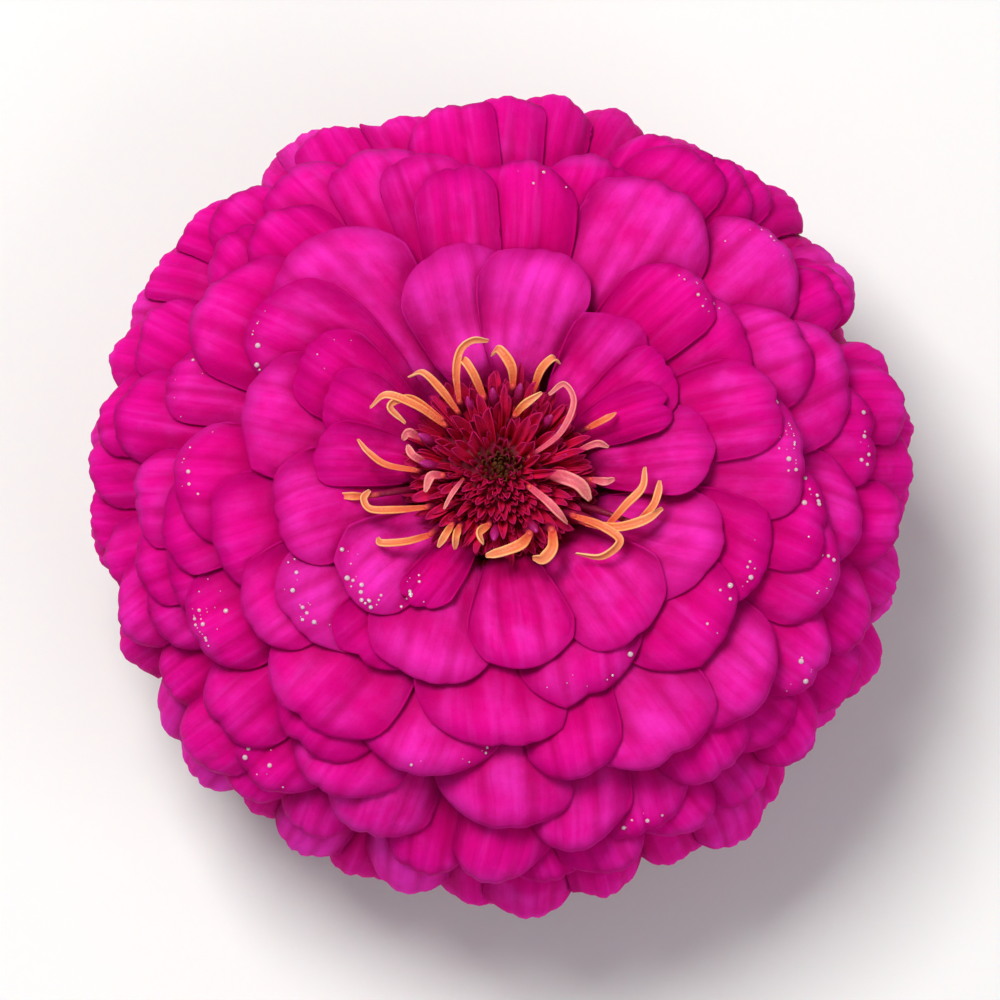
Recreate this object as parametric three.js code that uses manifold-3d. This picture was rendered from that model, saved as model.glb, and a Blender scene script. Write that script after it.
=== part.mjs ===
// A double zinnia bloom, picked just below the head. It rests face up on the cut end of its stalk
// and on the tips of its lowest petals.
//
// Millimetres, +Z up. The origin is the centre of the stalk's cut end. Seen from above, +X is to
// the right and +Y is away from the viewer.

import * as THREE from "three";
import { mergeVertices } from "three/addons/utils/BufferGeometryUtils.js";
import Module from "manifold-3d";

// ---------------------------------------------------------------- driving dimensions

const RIM_RADIUS = 44.5; // out to the tips of the widest petals
const RIM_HEIGHT = 20; // height of those tips above the surface
const DOME_RISE = 27; // from there up to the crown of the petal dome
const SKIRT_DROP = 30; // how steeply the petals below the rim tuck in towards the surface

const STALK_RADIUS = 3.4;
const STALK_FLARE = 4.6; // radius where the stalk meets the green cup
const STALK_RIDGES = 10;
const RIDGE_SHARE = 0.03; // half the depth of the grooves between them, as a share of the radius
const CUP_BOTTOM = 9; // height of the cup's underside
const CUP_TOP = 23.2;
const CUP_RADIUS = 12;
const FIT_GAP = 0.3; // left between pieces that touch

const CORE_BOTTOM = CUP_TOP + FIT_GAP;
const CORE_TOP = 41.2; // top of the seat that the petals grow from
const CORE_TOP_RADIUS = 8.2;

const PETAL_THICKNESS = 0.7;
const PETAL_ARCH = 0.2; // rise of the arch across a petal, as a share of its half width
const TIP_TUCK = 0.9; // how far a petal's end bends down
const TIP_POINT = 0.5; // how much further the middle of the tip reaches than its corners
const ROOT_SINK = 1.3; // how far a petal's root reaches into its seat
const ROOT_HEIGHTS = [26, 40]; // where the lowest and the highest petals leave the seat
const TAKE_OFFS = [8, 60]; // degrees above level at which they do
const CROWN_TIP_ANGLE = 62; // degrees up the dome, for the tips of the highest

const RULE_PETALS = 62; // petals below the crown, placed by the spiral rule
const FIRST_TIP_ANGLE = 31; // degrees up the dome, for the tip of the first of them
const LAST_TIP_ANGLE = -46; // and for the last, which reaches the surface
const TIP_CROWDING = 0.88; // under 1 sets the petals closer together towards the last
const SPIRAL_START = 12; // degrees
const GOLDEN_ANGLE = 137.508; // degrees from one petal or floret to the next
const SEED = 2024;

const DEGREE = Math.PI / 180;

// ---------------------------------------------------------------- the crown's petals
// Read from the bloom by eye, the innermost first: [azimuth in degrees, tip radius, width].
const CROWN_PETALS = [
  [178, 19.5, 5.6],
  [157, 20, 7.4],
  [47, 20.7, 8],
  [222, 21.4, 8.2],
  [278, 21.9, 9],
  [4, 23.2, 8.8],
  [309, 23.5, 9.6],
  [76, 23.9, 10.2],
  [103, 24.3, 10.4],
  [250, 24.4, 10.6],
  [339, 25.3, 10.4],
  [194, 26.1, 9.8],
  [233, 25.7, 8],
  [291, 26.7, 10.8],
  [216, 28.2, 9.4],
  [166, 29.6, 11],
  [33, 30.2, 10.2],
  [270, 30.4, 12.8],
  [320, 30.6, 10.4],
  [133, 32.1, 13.2],
  [2, 32.6, 12.4],
  [197, 32.8, 10.6],
  [86, 33.3, 11.8],
  [250, 33.6, 11.6],
  [301, 34.5, 13],
  [102, 34.8, 10.4],
  [58, 35, 13.4],
  [227, 35.1, 11.6],
  [23, 35.4, 10],
  [349, 35.6, 10],
  [182, 36, 10],
  [114, 36.3, 11.2],
  [151, 36.6, 11.4],
  [317, 37.7, 11.2],
  [340, 38.1, 10.4],
  [39, 38.4, 11.4],
  [17, 38.5, 11.2],
];

// ---------------------------------------------------------------- small helpers

const wasm = await Module();
wasm.setup();

// A repeatable source of draws from -1 to 1.
function draws(seed) {
  let state = seed >>> 0;
  return () => {
    state = (Math.imul(state, 1664525) + 1013904223) >>> 0;
    return state / 2147483648 - 1;
  };
}

// A THREE geometry as a solid, and back.
function solidOf(geometry) {
  const bare = new THREE.BufferGeometry();
  bare.setAttribute("position", geometry.getAttribute("position"));
  bare.setIndex(geometry.index);
  const merged = mergeVertices(bare, 1e-4);
  return new wasm.Manifold(
    new wasm.Mesh({
      numProp: 3,
      vertProperties: new Float32Array(merged.getAttribute("position").array),
      triVerts: new Uint32Array(merged.index.array),
    }),
  );
}

function geometryOf(solid) {
  const mesh = solid.getMesh();
  const geometry = new THREE.BufferGeometry();
  geometry.setAttribute("position", new THREE.BufferAttribute(mesh.vertProperties, 3));
  geometry.setIndex(new THREE.BufferAttribute(mesh.triVerts, 1));
  geometry.computeVertexNormals();
  return geometry;
}

// Joins solids into one body, with no sealed hollows or loose scraps, and drops what is finer than
// the tolerance.
function fuse(solids, tolerance = 0.02) {
  const joined = wasm.Manifold.union(solids).simplify(tolerance);
  const shells = solidOf(geometryOf(joined)).decompose();
  shells.sort((a, b) => b.volume() - a.volume());
  return shells[0];
}

// A closed solid of revolution from [radius, height] points, both ends on the axis.
function turned(profile, sides) {
  const points = profile.map(([r, z]) => new THREE.Vector2(r, z));
  return new THREE.LatheGeometry(points, sides).rotateX(Math.PI / 2);
}

// A closed blade over a grid of points. upper(i, j) and lower(i, j) give its two faces, for i
// along it and j across it, where i crossed with j points out of the upper face.
function blade(rows, columns, upper, lower) {
  const positions = [];
  const index = [];
  for (const face of [upper, lower])
    for (let i = 0; i < rows; i++)
      for (let j = 0; j < columns; j++) positions.push(...face(i, j).toArray());
  const top = (i, j) => i * columns + j;
  const under = (i, j) => rows * columns + top(i, j);
  const quad = (a, b, c, d) => index.push(a, b, c, a, c, d);
  for (let i = 0; i + 1 < rows; i++)
    for (let j = 0; j + 1 < columns; j++) {
      quad(top(i, j), top(i + 1, j), top(i + 1, j + 1), top(i, j + 1));
      index.push(under(i, j), under(i + 1, j + 1), under(i + 1, j));
      index.push(under(i, j), under(i, j + 1), under(i + 1, j + 1));
    }
  for (let i = 0; i + 1 < rows; i++) {
    const last = columns - 1;
    quad(top(i, 0), under(i, 0), under(i + 1, 0), top(i + 1, 0));
    quad(top(i, last), top(i + 1, last), under(i + 1, last), under(i, last));
  }
  for (let j = 0; j + 1 < columns; j++) {
    const last = rows - 1;
    quad(top(0, j), top(0, j + 1), under(0, j + 1), under(0, j));
    quad(top(last, j), under(last, j), under(last, j + 1), top(last, j + 1));
  }
  const geometry = new THREE.BufferGeometry();
  geometry.setAttribute("position", new THREE.Float32BufferAttribute(positions, 3));
  geometry.setIndex(index);
  return geometry;
}

// The point at radius r and height z, turned to an azimuth in radians.
function onAzimuth(r, z, azimuth) {
  return new THREE.Vector3(r * Math.cos(azimuth), r * Math.sin(azimuth), z);
}

const mix = THREE.MathUtils.lerp;
const ramp = THREE.MathUtils.smoothstep;

// ---------------------------------------------------------------- the dome and the seat

// The dome's outer surface in a plane through its axis. The angle is 90 degrees at the crown, 0 at
// the rim, and negative on the skirt below it.
function dome(angle) {
  const rise = angle > 0 ? DOME_RISE : SKIRT_DROP;
  return new THREE.Vector2(
    RIM_RADIUS * Math.cos(angle),
    RIM_HEIGHT + rise * Math.sin(angle),
  );
}

// The way a petal's tip points there: down the dome, and on the skirt more nearly straight down.
function downDome(angle) {
  const lean = angle > 0 ? angle : 0.45 * angle;
  const rise = angle > 0 ? DOME_RISE : SKIRT_DROP;
  return new THREE.Vector2(
    RIM_RADIUS * Math.sin(lean),
    -rise * Math.cos(lean),
  ).normalize();
}

const SEAT_PROFILE = [
  [0, CORE_BOTTOM],
  [12, CORE_BOTTOM],
  [18, 26.5],
  [21, 30.5],
  [18, 36],
  [12, 40],
  [CORE_TOP_RADIUS, CORE_TOP],
  [0, CORE_TOP],
];

// The seat's radius at a height.
function seatRadius(height) {
  for (let k = 1; k + 1 < SEAT_PROFILE.length - 1; k++) {
    const [r0, z0] = SEAT_PROFILE[k];
    const [r1, z1] = SEAT_PROFILE[k + 1];
    if (height <= z1) return mix(r0, r1, (height - z0) / (z1 - z0));
  }
  return CORE_TOP_RADIUS;
}

// ---------------------------------------------------------------- petals

// Every petal's place and size, the innermost first.
function petalList() {
  const draw = draws(SEED);
  const petals = CROWN_PETALS.map(([azimuth, tipRadius, width]) => ({
    azimuth: azimuth * DEGREE,
    tipAngle: Math.acos(tipRadius / RIM_RADIUS),
    halfWidth: width / 2,
    roll: 5 * DEGREE * draw(),
    swing: 4 * DEGREE * draw(),
    lift: 0.3 * draw(),
  }));
  for (let k = 0; k < RULE_PETALS; k++) {
    const share = k / (RULE_PETALS - 1);
    petals.push({
      azimuth: (SPIRAL_START + GOLDEN_ANGLE * k + 2 * draw()) * DEGREE,
      tipAngle:
        (mix(FIRST_TIP_ANGLE, LAST_TIP_ANGLE, share ** TIP_CROWDING) + 1.2 * draw()) * DEGREE,
      halfWidth: mix(6.1, 6.6, share) + 0.4 * draw(),
      roll: 5 * DEGREE * draw(),
      swing: 3 * DEGREE * draw(),
      lift: 0.3 * draw(),
    });
  }
  return petals;
}

// Half a petal's width along it, from root (0) to tip (1), as a share of its widest.
const PETAL_STATIONS = [0, 0.4, 0.75, 0.93, 1];
const PETAL_WIDTHS = [0.3, 0.7, 1, 0.8, 0.36];
const COLUMNS = [-1, 0, 1];

// A petal's middle line in a plane through the dome's axis, from its root in the seat to its tip.
function midline(tipAngle) {
  const tip = dome(tipAngle);
  const lowest = LAST_TIP_ANGLE * DEGREE;
  const rank = (tipAngle - lowest) / (CROWN_TIP_ANGLE * DEGREE - lowest);
  const rootHeight = mix(...ROOT_HEIGHTS, rank);
  const root = new THREE.Vector2(seatRadius(rootHeight) - ROOT_SINK, rootHeight);
  const reach = tip.distanceTo(root);
  const takeOff = mix(...TAKE_OFFS, rank) * DEGREE;
  const rise = new THREE.Vector2(Math.cos(takeOff), Math.sin(takeOff));
  return new THREE.CubicBezierCurve(
    root,
    root.clone().addScaledVector(rise, 0.38 * reach),
    tip.clone().addScaledVector(downDome(tipAngle), -0.42 * reach),
    tip,
  );
}

function petalSolid(petal) {
  const curve = midline(petal.tipAngle);
  const point = (i, j, depth) => {
    const along = PETAL_STATIONS[i];
    const across = COLUMNS[j];
    const middle = curve.getPoint(along);
    const ahead = curve.getTangent(along);
    const azimuth = petal.azimuth + petal.swing * along * along;
    const side = onAzimuth(1, 0, azimuth + Math.PI / 2);
    const forward = onAzimuth(ahead.x, ahead.y, azimuth);
    side.applyAxisAngle(forward, petal.roll * along);
    const outward = forward.clone().cross(side).normalize();
    const half = petal.halfWidth * PETAL_WIDTHS[i];
    const arch = PETAL_ARCH * half * (0.5 - across * across) * ramp(along, 0, 0.5);
    const tuck = TIP_TUCK * ramp(along, 0.9, 1);
    const place = onAzimuth(middle.x, middle.y, azimuth)
      .addScaledVector(side, across * half)
      .addScaledVector(outward, arch - tuck + petal.lift * along - depth);
    if (along === 1) place.addScaledVector(forward, -TIP_POINT * Math.abs(across));
    place.z = Math.max(place.z, depth > 0 ? 0 : PETAL_THICKNESS);
    return place;
  };
  return solidOf(
    blade(
      PETAL_STATIONS.length,
      COLUMNS.length,
      (i, j) => point(i, j, 0),
      (i, j) => point(i, j, PETAL_THICKNESS),
    ),
  );
}

function petals() {
  const seat = solidOf(turned(SEAT_PROFILE, 24));
  return fuse([seat, ...petalList().map(petalSolid)]);
}

// ---------------------------------------------------------------- stalk and green cup

function stalk() {
  const top = CUP_BOTTOM - FIT_GAP;
  const geometry = turned(
    [
      [0, 0],
      [STALK_RADIUS, 0],
      [STALK_RADIUS, 0.5 * top],
      [STALK_FLARE, top],
      [0, top],
    ],
    2 * STALK_RIDGES,
  );
  const place = geometry.getAttribute("position");
  for (let k = 0; k < place.count; k++) {
    const azimuth = Math.atan2(place.getY(k), place.getX(k));
    const scale = 1 - RIDGE_SHARE * (1 - Math.cos(STALK_RIDGES * azimuth));
    place.setXY(k, scale * place.getX(k), scale * place.getY(k));
  }
  return solidOf(geometry);
}

const CUP_PROFILE = [
  [0, CUP_BOTTOM],
  [STALK_FLARE, CUP_BOTTOM],
  [8.6, 11.2],
  [11.2, 15],
  [CUP_RADIUS, 19.5],
  [11.6, CUP_TOP],
  [0, CUP_TOP],
];

// The rows of bracts that overlap like tiles on the cup, the lowest first.
const BRACT_ROWS = [
  { count: 7, from: 0.1, to: 0.46, halfWidth: 3.3 },
  { count: 8, from: 0.34, to: 0.72, halfWidth: 4 },
  { count: 10, from: 0.6, to: 0.97, halfWidth: 3.6 },
];
const BRACT_STAND = 0.9; // how far a bract's tip stands proud of the cup
const BRACT_SINK = 1.6; // how deep its back is sunk in the cup

function involucre() {
  const wall = new THREE.CatmullRomCurve3(
    CUP_PROFILE.slice(1, -1).map(([r, z]) => new THREE.Vector3(r, 0, z)),
  );
  const widths = [0.8, 1, 0.4];
  const bracts = BRACT_ROWS.flatMap((row, level) =>
    Array.from({ length: row.count }, (_, k) => {
      const azimuth = (2 * Math.PI * (k + 0.5 * (level % 2))) / row.count;
      const point = (i, j, depth) => {
        const along = mix(row.from, row.to, i / 2);
        const middle = wall.getPoint(along);
        const ahead = wall.getTangent(along);
        const stand = mix(0.3, BRACT_STAND, i / 2) - 0.3 * (j - 1) * (j - 1) - depth;
        const turn = ((1 - j) * widths[i] * row.halfWidth) / middle.x;
        return onAzimuth(
          middle.x + ahead.z * stand,
          middle.z - ahead.x * stand,
          azimuth + turn,
        );
      };
      return solidOf(
        blade(3, 3, (i, j) => point(i, j, 0), (i, j) => point(i, j, BRACT_SINK)),
      );
    }),
  );
  return fuse([solidOf(turned(CUP_PROFILE, 18)), ...bracts]);
}

// ---------------------------------------------------------------- the disc

const DISC_FLOOR = CORE_TOP + FIT_GAP; // underside of the plate that the florets stand on
const PLATE_THICKNESS = 1;
const PLATE_RADIUS = 8.2;
const FLORETS = 16;
const FLORET_RING = 7.4; // radius at which the florets stand
const FLORET_LEAN = 2.6; // how far out from its foot a floret's mouth is
const FLORET_HEIGHT = 4.8;
const LOBE_CURL = 0.6; // how far a lobe's end hooks down
const LOBE_SPREAD = 0.55; // radians to either side
const CHAFF_FLOOR = DISC_FLOOR + PLATE_THICKNESS + FIT_GAP;
const CHAFF_RADIUS = 6.2;
const CHAFF_RISE = 1.6; // height of the cushion's middle
const CHAFF_SHOULDER = 0.6; // height of its edge, where the scales stand
const CHAFF_SCALES = 40;
const SCALE_THICKNESS = 0.7;

// A three-sided tube along a list of points, its radius given at each.
function tube(points, radii) {
  const curve = new THREE.CatmullRomCurve3(points);
  const rings = points.length;
  const frames = curve.computeFrenetFrames(rings - 1, false);
  const positions = [];
  const index = [];
  for (let i = 0; i < rings; i++)
    for (let j = 0; j < 3; j++) {
      const turn = (2 * Math.PI * j) / 3;
      const place = points[i]
        .clone()
        .addScaledVector(frames.normals[i], radii[i] * Math.cos(turn))
        .addScaledVector(frames.binormals[i], radii[i] * Math.sin(turn));
      positions.push(...place.toArray());
    }
  for (let i = 0; i + 1 < rings; i++)
    for (let j = 0; j < 3; j++) {
      const a = i * 3 + j;
      const b = i * 3 + ((j + 1) % 3);
      index.push(a, b, b + 3, a, b + 3, a + 3);
    }
  const last = (rings - 1) * 3;
  index.push(0, 2, 1, last, last + 1, last + 2);
  const geometry = new THREE.BufferGeometry();
  geometry.setAttribute("position", new THREE.Float32BufferAttribute(positions, 3));
  geometry.setIndex(index);
  return solidOf(geometry);
}

// One open disc floret: a slender tube that leans out over the petals, ending in two lobes that
// curl over. One lobe carries on from the tube, and the other springs from its mouth.
function floret(azimuth, lean, height, curl, spread) {
  const foot = DISC_FLOOR + 0.5 * PLATE_THICKNESS;
  const mouth = onAzimuth(FLORET_RING + lean, foot + height, azimuth);
  const lobe = (way) => {
    const out = onAzimuth(1, 0, azimuth + way * spread);
    const at = (ahead, up) => {
      const place = mouth.clone().addScaledVector(out, ahead);
      place.z += up;
      return place;
    };
    return [at(1.7, 1.1), at(3.2, 0.9 - 0.5 * curl), at(3.6, -0.3 - curl)];
  };
  const stem = [
    onAzimuth(FLORET_RING, foot, azimuth),
    onAzimuth(FLORET_RING + 0.3 * lean, foot + 0.6 * height, azimuth),
    mouth,
  ];
  return [
    tube([...stem, ...lobe(1)], [0.6, 0.6, 0.7, 0.6, 0.5, 0.4]),
    tube([mouth, ...lobe(-1)], [0.5, 0.6, 0.5, 0.4]),
  ];
}

function florets() {
  const draw = draws(SEED + 1);
  const plate = solidOf(
    turned(
      [
        [0, DISC_FLOOR],
        [PLATE_RADIUS, DISC_FLOOR],
        [PLATE_RADIUS, DISC_FLOOR + PLATE_THICKNESS],
        [0, DISC_FLOOR + PLATE_THICKNESS],
      ],
      FLORETS,
    ),
  );
  const open = Array.from({ length: FLORETS }, (_, k) =>
    floret(
      (2 * Math.PI * k) / FLORETS,
      FLORET_LEAN + 0.8 * draw(),
      FLORET_HEIGHT + 0.9 * draw(),
      LOBE_CURL + 0.6 * draw(),
      LOBE_SPREAD + 0.2 * draw(),
    ),
  );
  return fuse([plate, ...open.flat()]);
}

// A pointed scale standing at a radius, with its tip moved out by the lean.
function scale(azimuth, radius, tall, lean, halfWidth) {
  const foot = CHAFF_FLOOR + CHAFF_SHOULDER;
  const widths = [halfWidth, 0.9 * halfWidth, 0.2 * halfWidth];
  const point = (i, j, depth) => {
    const share = i / 2;
    const place = onAzimuth(
      radius + lean * share ** 1.5 - depth,
      foot + tall * share,
      azimuth,
    );
    const side = onAzimuth(1, 0, azimuth + Math.PI / 2);
    return place.addScaledVector(side, (1 - 2 * j) * widths[i]);
  };
  return solidOf(
    blade(3, 2, (i, j) => point(i, j, 0), (i, j) => point(i, j, SCALE_THICKNESS)),
  );
}

// The dark heart: a low cushion set with pointed scales. Those in the middle close over it, and a
// ring of longer ones reaches out between the florets.
function chaff() {
  const draw = draws(SEED + 2);
  const cushion = solidOf(
    turned(
      [
        [0, CHAFF_FLOOR],
        [CHAFF_RADIUS, CHAFF_FLOOR],
        [CHAFF_RADIUS, CHAFF_FLOOR + CHAFF_SHOULDER],
        [0.7 * CHAFF_RADIUS, CHAFF_FLOOR + CHAFF_RISE],
        [0, CHAFF_FLOOR + CHAFF_RISE],
      ],
      FLORETS,
    ),
  );
  const inner = Array.from({ length: CHAFF_SCALES }, (_, k) => {
    const share = Math.sqrt((k + 0.5) / CHAFF_SCALES);
    const tall = mix(1.6, 3.6, share) + 0.3 * draw();
    const radius = 0.8 * CHAFF_RADIUS * share;
    return scale(GOLDEN_ANGLE * DEGREE * k, radius, tall, mix(-0.5, 0.6, share), 0.7);
  });
  const outer = Array.from({ length: FLORETS }, (_, k) => {
    const azimuth = (2 * Math.PI * (k + 0.5)) / FLORETS;
    return scale(azimuth, CHAFF_RADIUS, 3.6 + 0.4 * draw(), 2.9, 0.75);
  });
  return fuse([cushion, ...inner, ...outer]);
}

// ---------------------------------------------------------------- the bloom

const magenta = new THREE.MeshStandardMaterial({ color: "#d6157f", roughness: 0.55 });
const maroon = new THREE.MeshStandardMaterial({ color: "#5e0a24", roughness: 0.7 });
const amber = new THREE.MeshStandardMaterial({ color: "#f0a04a", roughness: 0.5 });
const leafGreen = new THREE.MeshStandardMaterial({ color: "#5f8a3a", roughness: 0.6 });
const stalkGreen = new THREE.MeshStandardMaterial({ color: "#7a9a4c", roughness: 0.6 });

function piece(name, solid, material) {
  const mesh = new THREE.Mesh(geometryOf(solid), material);
  mesh.name = name;
  return mesh;
}

const bloom = new THREE.Group();
bloom.add(
  piece("stalk", stalk(), stalkGreen),
  piece("involucre", involucre(), leafGreen),
  piece("ray_petals", petals(), magenta),
  piece("disc_florets", florets(), amber),
  piece("disc_chaff", chaff(), maroon),
);

export default bloom;
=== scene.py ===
"""The looks of a double zinnia bloom, picked just below the head and resting face up.

Every sub-assembly is a class with its sizes in millimetres as fields. It builds its meshes in the frame
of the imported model, +Z up, with the middle of the bloom's base at the origin.
"""
import logging
import math
from dataclasses import dataclass, field, replace
from enum import Enum
from typing import Iterable, Iterator, Sequence

import bpy
import numpy as np
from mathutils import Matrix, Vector


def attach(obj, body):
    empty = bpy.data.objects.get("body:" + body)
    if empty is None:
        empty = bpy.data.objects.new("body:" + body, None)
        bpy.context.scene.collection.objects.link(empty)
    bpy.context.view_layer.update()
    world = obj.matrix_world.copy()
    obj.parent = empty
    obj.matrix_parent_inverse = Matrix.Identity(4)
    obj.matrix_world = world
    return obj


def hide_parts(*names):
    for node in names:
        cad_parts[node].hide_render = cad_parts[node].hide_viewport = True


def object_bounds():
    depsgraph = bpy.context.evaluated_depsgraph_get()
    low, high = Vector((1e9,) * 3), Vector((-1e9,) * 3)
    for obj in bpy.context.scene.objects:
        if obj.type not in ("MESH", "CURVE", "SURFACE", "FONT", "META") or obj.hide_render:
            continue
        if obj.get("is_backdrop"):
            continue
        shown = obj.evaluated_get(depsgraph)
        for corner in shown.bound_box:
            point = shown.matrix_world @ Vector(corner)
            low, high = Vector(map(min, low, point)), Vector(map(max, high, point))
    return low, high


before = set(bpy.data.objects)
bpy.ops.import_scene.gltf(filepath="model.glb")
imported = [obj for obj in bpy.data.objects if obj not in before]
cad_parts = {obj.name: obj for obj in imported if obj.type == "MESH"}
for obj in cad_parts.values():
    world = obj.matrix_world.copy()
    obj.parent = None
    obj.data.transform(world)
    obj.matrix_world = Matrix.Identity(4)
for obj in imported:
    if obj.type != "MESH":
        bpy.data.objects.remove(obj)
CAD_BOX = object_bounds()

LOG = logging.getLogger("zinnia")

Array = np.ndarray
Colour = tuple[float, float, float]

MM = 0.001
GOLDEN_ANGLE = math.radians(137.508)
BODY = "root"


class Node(Enum):
    """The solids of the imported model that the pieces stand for."""

    PETALS = "ray_petals"
    FLORETS = "disc_florets"
    CHAFF = "disc_chaff"
    CUP = "involucre"
    STALK = "stalk"


class Slot(Enum):
    """The record's material slots."""

    PETAL = "ray_petal"
    FLORET = "disc_floret"
    CHAFF = "chaff_scale"
    BRACT = "bract"
    STALK = "stalk"


# ---------------------------------------------------------------- numbers


def smooth(low: float, high: float, x: Array) -> Array:
    """An eased step from 0 at low to 1 at high."""
    t = np.clip((np.asarray(x, float) - low) / (high - low), 0.0, 1.0)
    return t * t * (3.0 - 2.0 * t)


def mix(low: float, high: float, share: float) -> float:
    """The value at a share of the way from low to high."""
    return low + (high - low) * share


def bell(x: Array, width: float) -> Array:
    """A smooth bump of height one at 0."""
    return np.exp(-((x / width) ** 2))


def unit(vectors: Array) -> Array:
    """Vectors along the last axis, each scaled to length one."""
    length = np.linalg.norm(vectors, axis=-1, keepdims=True)
    return vectors / np.maximum(length, 1e-12)


def drawn(draw: np.random.Generator, **ranges: tuple[float, float]) -> dict[str, float]:
    """A value drawn evenly from each range, in the order of the ranges."""
    return {name: draw.uniform(*ends) for name, ends in ranges.items()}


def on_azimuth(radius: Array, height: Array, azimuth: Array) -> Array:
    """Points at a radius and height, turned to an azimuth in radians.

    Args:
        radius: distance from the axis, in millimetres.
        height: height above the surface, in millimetres.
        azimuth: angle from +X towards +Y, in radians.

    Returns:
        The points, with x, y and z along a new last axis.
    """
    radius, height, azimuth = np.broadcast_arrays(radius, height, azimuth)
    return np.stack([radius * np.cos(azimuth), radius * np.sin(azimuth), height], axis=-1)


def round_steps(sides: int) -> Array:
    """Angles in radians, spaced evenly round a circle."""
    return np.arange(sides) * 2 * math.pi / sides


def grid_normals(points: Array) -> Array:
    """Normals of a grid of points, out of the side where rows crossed with columns point.

    Args:
        points: the grid, of shape (rows, columns, 3).

    Returns:
        A normal of length one for each point.
    """
    along = np.gradient(points, axis=0)
    across = np.gradient(points, axis=1)
    return unit(np.cross(along, across))


def curve_through(points: Sequence[Sequence[float]], count: int) -> Array:
    """A smooth curve through a few points.

    Args:
        points: the points that it passes through.
        count: how many points to return along it.

    Returns:
        Points along a Catmull-Rom curve, of shape (count, 3).
    """
    given = np.asarray(points, float)
    padded = np.vstack([2 * given[0] - given[1], given, 2 * given[-1] - given[-2]])
    place = np.linspace(0, len(given) - 1, count)
    first = np.minimum(place.astype(int), len(given) - 2)
    t = (place - first)[:, None]
    a, b, c, d = (padded[first + k] for k in range(4))
    return 0.5 * (
        2 * b + (c - a) * t + (2 * a - 5 * b + 4 * c - d) * t**2 + (3 * b - a - 3 * c + d) * t**3
    )


# ---------------------------------------------------------------- meshes


@dataclass
class MeshDraft:
    """The points, faces and painted values of one piece while it is made."""

    name: str
    points: list[Array] = field(default_factory=list)
    faces: list[list[int]] = field(default_factory=list)
    painted: dict[str, list[Array]] = field(default_factory=dict)
    count: int = 0

    def add(self, points: Array, faces: Iterable[Sequence[int]], **painted: Array) -> None:
        """Adds a closed form.

        Args:
            points: its points in millimetres, of shape (n, 3).
            faces: point numbers of each face, counted within this form.
            painted: three values for each point, under the name that a finish reads.
        """
        self.points.append(points)
        self.faces.extend([[k + self.count for k in face] for face in faces])
        for name, values in painted.items():
            self.painted.setdefault(name, []).append(values)
        self.count += len(points)

    def build(self, finish: bpy.types.Material, slot: Slot, *nodes: Node) -> bpy.types.Object:
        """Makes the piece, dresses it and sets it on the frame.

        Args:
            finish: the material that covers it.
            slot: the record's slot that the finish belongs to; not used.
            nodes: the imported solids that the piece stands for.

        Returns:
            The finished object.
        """
        mesh = bpy.data.meshes.new(self.name)
        mesh.from_pydata((np.vstack(self.points) * MM).tolist(), [], self.faces)
        for name, values in self.painted.items():
            layer = mesh.attributes.new(name, "FLOAT_VECTOR", "POINT")
            layer.data.foreach_set("vector", np.vstack(values).astype(np.float32).ravel())
        mesh.polygons.foreach_set("use_smooth", [True] * len(mesh.polygons))
        mesh.materials.append(finish)
        mesh.update()
        piece = bpy.data.objects.new(self.name, mesh)
        bpy.context.scene.collection.objects.link(piece)
        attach(piece, BODY)
        if nodes:
            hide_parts(*[node.value for node in nodes])
        LOG.info("%s: %d points, %d faces", self.name, self.count, len(self.faces))
        return piece


def shell(surface: Array, thickness: Array) -> tuple[Array, list[list[int]], Array]:
    """A closed sheet round a grid of points.

    Args:
        surface: middle of the sheet, of shape (rows, columns, 3).
        thickness: its thickness at each point, of shape (rows, columns).

    Returns:
        Its points, its faces, and 1 for each point on the upper face and 0 for each on the lower.
    """
    rows, columns = thickness.shape
    half = 0.5 * thickness[..., None] * grid_normals(surface)
    points = np.concatenate([(surface + half).reshape(-1, 3), (surface - half).reshape(-1, 3)])
    below = rows * columns
    number = np.arange(below).reshape(rows, columns)
    a, b = number[:-1, :-1].ravel(), number[1:, :-1].ravel()
    c, d = number[1:, 1:].ravel(), number[:-1, 1:].ravel()
    upper = np.stack([a, b, c, d], axis=1)
    lower = np.stack([d, c, b, a], axis=1) + below
    rim = np.concatenate([number[0], number[1:, -1], number[-1, -2::-1], number[-2:0:-1, 0]])
    after = np.roll(rim, -1)
    edge = np.stack([rim, after, after + below, rim + below], axis=1)
    faces = np.concatenate([upper, lower, edge]).tolist()
    side = np.concatenate([np.ones(below), np.zeros(below)])
    return points, faces, side


def both_faces(values: Array) -> Array:
    """Values at the points of a sheet's grid, repeated for the shell's upper and lower face."""
    return np.vstack([values.reshape(-1, values.shape[-1])] * 2)


def ring_walls(rings: int, sides: int) -> tuple[Array, list[list[int]]]:
    """The faces between rings of points.

    Args:
        rings: how many rings there are.
        sides: how many points each has.

    Returns:
        The number of each point, of shape (rings, sides), and the faces.
    """
    number = np.arange(rings * sides).reshape(rings, sides)
    following = np.roll(number, -1, axis=1)
    corners = (number[:-1], following[:-1], following[1:], number[1:])
    return number, np.stack([corner.ravel() for corner in corners], axis=1).tolist()


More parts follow.
